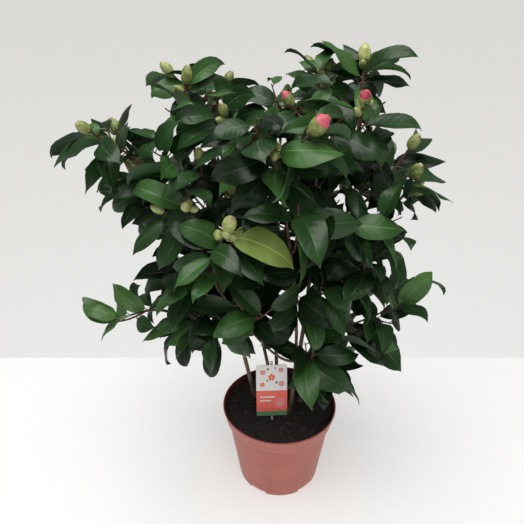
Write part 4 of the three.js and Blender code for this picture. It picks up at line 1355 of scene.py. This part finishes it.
labelSize = dict(width=0.050, height=0.088, thick=0.0012, corner=0.0025, lean=14, turn=3,
                 foot=(-0.013, -0.033, 0.137), clear=0.008)
pinSize = dict(over=6, back=-1.2, low=-2.0, belowLoop=5, radius=1.5, loopDown=2.8, loopRadius=0.0019,
               loopThick=0.0009)
coral, cream, rose = (0.94, 0.165, 0.125), (0.94, 0.92, 0.89), (0.88, 0.24, 0.33)
leafGreen, yolk = (0.12, 0.27, 0.13), (0.80, 0.56, 0.16)
cardPrint = dict(  # places are shares of the card's width and height
    bands=((coral, -1, 2, -1, 0.50), (leafGreen, -1, 2, -1, 0.09), (cream, 0.12, 0.60, 0.36, 0.385),
           (cream, 0.12, 0.48, 0.29, 0.31)),
    blossoms=((0.22, 0.86, 0.085, 5, rose), (0.50, 0.76, 0.11, 5, coral), (0.80, 0.90, 0.08, 5, rose),
              (0.20, 0.62, 0.075, 5, coral), (0.82, 0.63, 0.095, 5, rose), (0.76, 0.24, 0.17, 6, rose)),
    leaves=((0.38, 0.92, 0.04), (0.66, 0.66, 0.045), (0.36, 0.70, 0.035), (0.62, 0.94, 0.03)),
    taller=1.76, petalDepth=0.16, heart=0.32, blossomTurn=9, leafTurn=5, glow=0.14, rough=0.36)

labelFinish, nodes, links, shader = startMaterial("printedCard")
work = calculator(nodes, links)
u, v = uvAxes(nodes, links, "cardUv")


def between(value, low, high):
    return work("MULTIPLY", work("GREATER_THAN", value, low), work("LESS_THAN", value, high))


def flower(x, y, size, petals, start):  # a simple round blossom, and its heart
    dx = work("SUBTRACT", u, x)
    dy = work("MULTIPLY", work("SUBTRACT", v, y), cardPrint["taller"])
    squares = work("ADD", work("MULTIPLY", dx, dx), work("MULTIPLY", dy, dy))
    reach, angle = work("SQRT", squares), work("ARCTAN2", dy, dx)
    lobes = work("COSINE", work("MULTIPLY_ADD", angle, petals, start))
    limit = work("MULTIPLY_ADD", lobes, size * cardPrint["petalDepth"], size)
    return work("LESS_THAN", reach, limit), work("LESS_THAN", reach, size * cardPrint["heart"])


colour = cream
for shade, left, right, low, high in cardPrint["bands"]:
    band = work("MULTIPLY", between(u, left, right), between(v, low, high))
    colour = paint(nodes, links, colour, shade, band)
for x, y, size, petals, shade in cardPrint["blossoms"]:
    blossom, heart = flower(x, y, size, petals, x * cardPrint["blossomTurn"])
    colour = paint(nodes, links, colour, shade, blossom)
    colour = paint(nodes, links, colour, yolk, heart)
for x, y, size in cardPrint["leaves"]:
    colour = paint(nodes, links, colour, leafGreen, flower(x, y, size, 2, y * cardPrint["leafTurn"])[0])
links.new(colour, shader.inputs["Base Color"])
links.new(colour, shader.inputs["Emission Color"])  # painted light: the card's print glows a little, so it stays bright in the leaves' shade
shader.inputs["Emission Strength"].default_value = cardPrint["glow"]
shader.inputs["Roughness"].default_value = cardPrint["rough"]
cardBackFinish = plainFinish("cardBack", (0.74, 0.72, 0.69), (0.80, 0.78, 0.75), rough=0.45, scale=80)
pinFinish = plainFinish("clearPin", (0.60, 0.60, 0.60), (0.74, 0.74, 0.74), rough=0.28, scale=120)


def placeLabel(thing):
    pickUp(thing)
    thing.matrix_world = (Matrix.Translation(labelSize["foot"])
                          @ Matrix.Rotation(math.radians(labelSize["turn"]), 4, "Z")
                          @ Matrix.Rotation(math.radians(90 - labelSize["lean"]), 4, "X"))
    settle(thing)


def makeCard():
    s = labelSize
    putAllDown()
    bpy.ops.mesh.primitive_plane_add(size=1, location=(0, 0, 0))
    card = newest("labelCard")
    editing(card)
    chooseAll()
    bpy.ops.transform.resize(value=(s["width"], s["height"], 1), center_override=(0, 0, 0))
    bpy.ops.transform.translate(value=(0, s["clear"] + s["height"] / 2, 0))
    bpy.ops.mesh.bevel(offset=s["corner"], segments=5, affect="VERTICES")
    chooseAll()
    bpy.ops.mesh.extrude_region_move(TRANSFORM_OT_translate={"value": (0, 0, s["thick"])})
    faceOutwards()
    doneEditing()
    card.data.materials.append(labelFinish)
    card.data.materials.append(cardBackFinish)
    layer = card.data.uv_layers.new(name="cardUv")
    for face in card.data.polygons:
        face.material_index = 0 if face.normal.z > 0.9 else 1
        for number, corner in zip(face.loop_indices, face.vertices):
            place = card.data.vertices[corner].co
            layer.data[number].uv = (place.x / s["width"] + 0.5, (place.y - s["clear"]) / s["height"])
    placeLabel(card)
    return card


card = makeCard()
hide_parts("label")
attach(card, "root")


def makePin():  # a rod up the card's back, with a loop over its top
    s = pinSize
    top = (labelSize["clear"] + labelSize["height"]) / mm + s["over"]
    low, high = np.array([0, s["low"], s["back"]]), np.array([0, top - s["belowLoop"], s["back"]])
    rod = straightTube(low, high, s["radius"], s["radius"])
    pin = addTubes("labelPin", [rod], resolution=4, sides=8, finish=pinFinish)
    putAllDown()
    bpy.ops.mesh.primitive_torus_add(
        major_segments=20, minor_segments=8, major_radius=s["loopRadius"], minor_radius=s["loopThick"],
        location=(0, (top - s["loopDown"]) * mm, s["back"] * mm))
    loop = newest("pinLoop")
    loop.data.materials.append(pinFinish)
    settle(loop)
    pickUp(loop, pin)
    bpy.ops.object.join()
    pin = newest("labelPin")
    placeLabel(pin)
    return pin


pin = makePin()
smooth(pin, degrees=60)
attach(pin, "root")
print("label done")


floorSize = dict(width=8, depth=3.319, behind=0.319, below=0.0004, glow=(1, 1, 0.99, 1), strength=0.455)
floorFinish = plainFinish("paleFloor", (0.62, 0.62, 0.62), (0.64, 0.64, 0.64), rough=0.7, scale=1.5)
floorSockets = floorFinish.node_tree.nodes["Principled BSDF"].inputs
floorSockets["Emission Color"].default_value = floorSize["glow"]
floorSockets["Emission Strength"].default_value = floorSize["strength"]
putAllDown()
bpy.ops.mesh.primitive_plane_add(size=1, location=(0, 0, 0))
floor = newest("studioFloor")
editing(floor)
chooseAll()
bpy.ops.transform.resize(value=(floorSize["width"], floorSize["depth"], 1), center_override=(0, 0, 0))
bpy.ops.transform.translate(value=(0, floorSize["behind"] - floorSize["depth"] / 2, -floorSize["below"]))
doneEditing()
floor.data.materials.append(floorFinish)

studio = dict(
    aim=(0, 0, 0.35),
    overhead=dict(place=(-0.17, -0.35, 2.2), size=(1.9, 1.6), watts=42, tint=(1.0, 0.985, 0.96)),
    front=dict(place=(0.5, -2.4, 1.7), size=(1.6, 1.6), watts=9, tint=(0.97, 0.985, 1.0)),
    wall=(0.705, 0.697, 0.672), wallLow=(0.835, 0.835, 0.82), wallSpan=(-0.6, 0.02), softLight=0.29)
for name in ("overhead", "front"):
    lamp = studio[name]
    toAim = Vector(studio["aim"]) - Vector(lamp["place"])
    bpy.ops.object.light_add(type="AREA", location=lamp["place"],
                             rotation=toAim.to_track_quat("-Z", "Y").to_euler())
    lampObject = newest(name + "Light")
    lampObject.data.shape = "RECTANGLE"
    lampObject.data.size, lampObject.data.size_y = lamp["size"]
    lampObject.data.energy = lamp["watts"]
    lampObject.data.color = lamp["tint"]

world = bpy.data.worlds.new("paleStudio")
bpy.context.scene.world = world
world.use_nodes = True
nodes, links = world.node_tree.nodes, world.node_tree.links
background = nodes["Background"]
height = nodes.new("ShaderNodeSeparateXYZ")
links.new(nodes.new("ShaderNodeTexCoord").outputs["Generated"], height.inputs["Vector"])
shade = nodes.new("ShaderNodeMapRange")
shade.inputs["From Min"].default_value, shade.inputs["From Max"].default_value = studio["wallSpan"]
links.new(height.outputs["Z"], shade.inputs["Value"])
wallColour = paint(nodes, links, studio["wallLow"], studio["wall"], shade.outputs["Result"])
links.new(wallColour, background.inputs["Color"])
seen = nodes.new("ShaderNodeLightPath").outputs["Is Camera Ray"]  # the wall is brighter than its light
spreadValue(nodes, links, seen, background.inputs["Strength"], low=studio["softLight"], high=1)
bpy.context.scene.view_settings.view_transform = "Standard"
print("studio done")
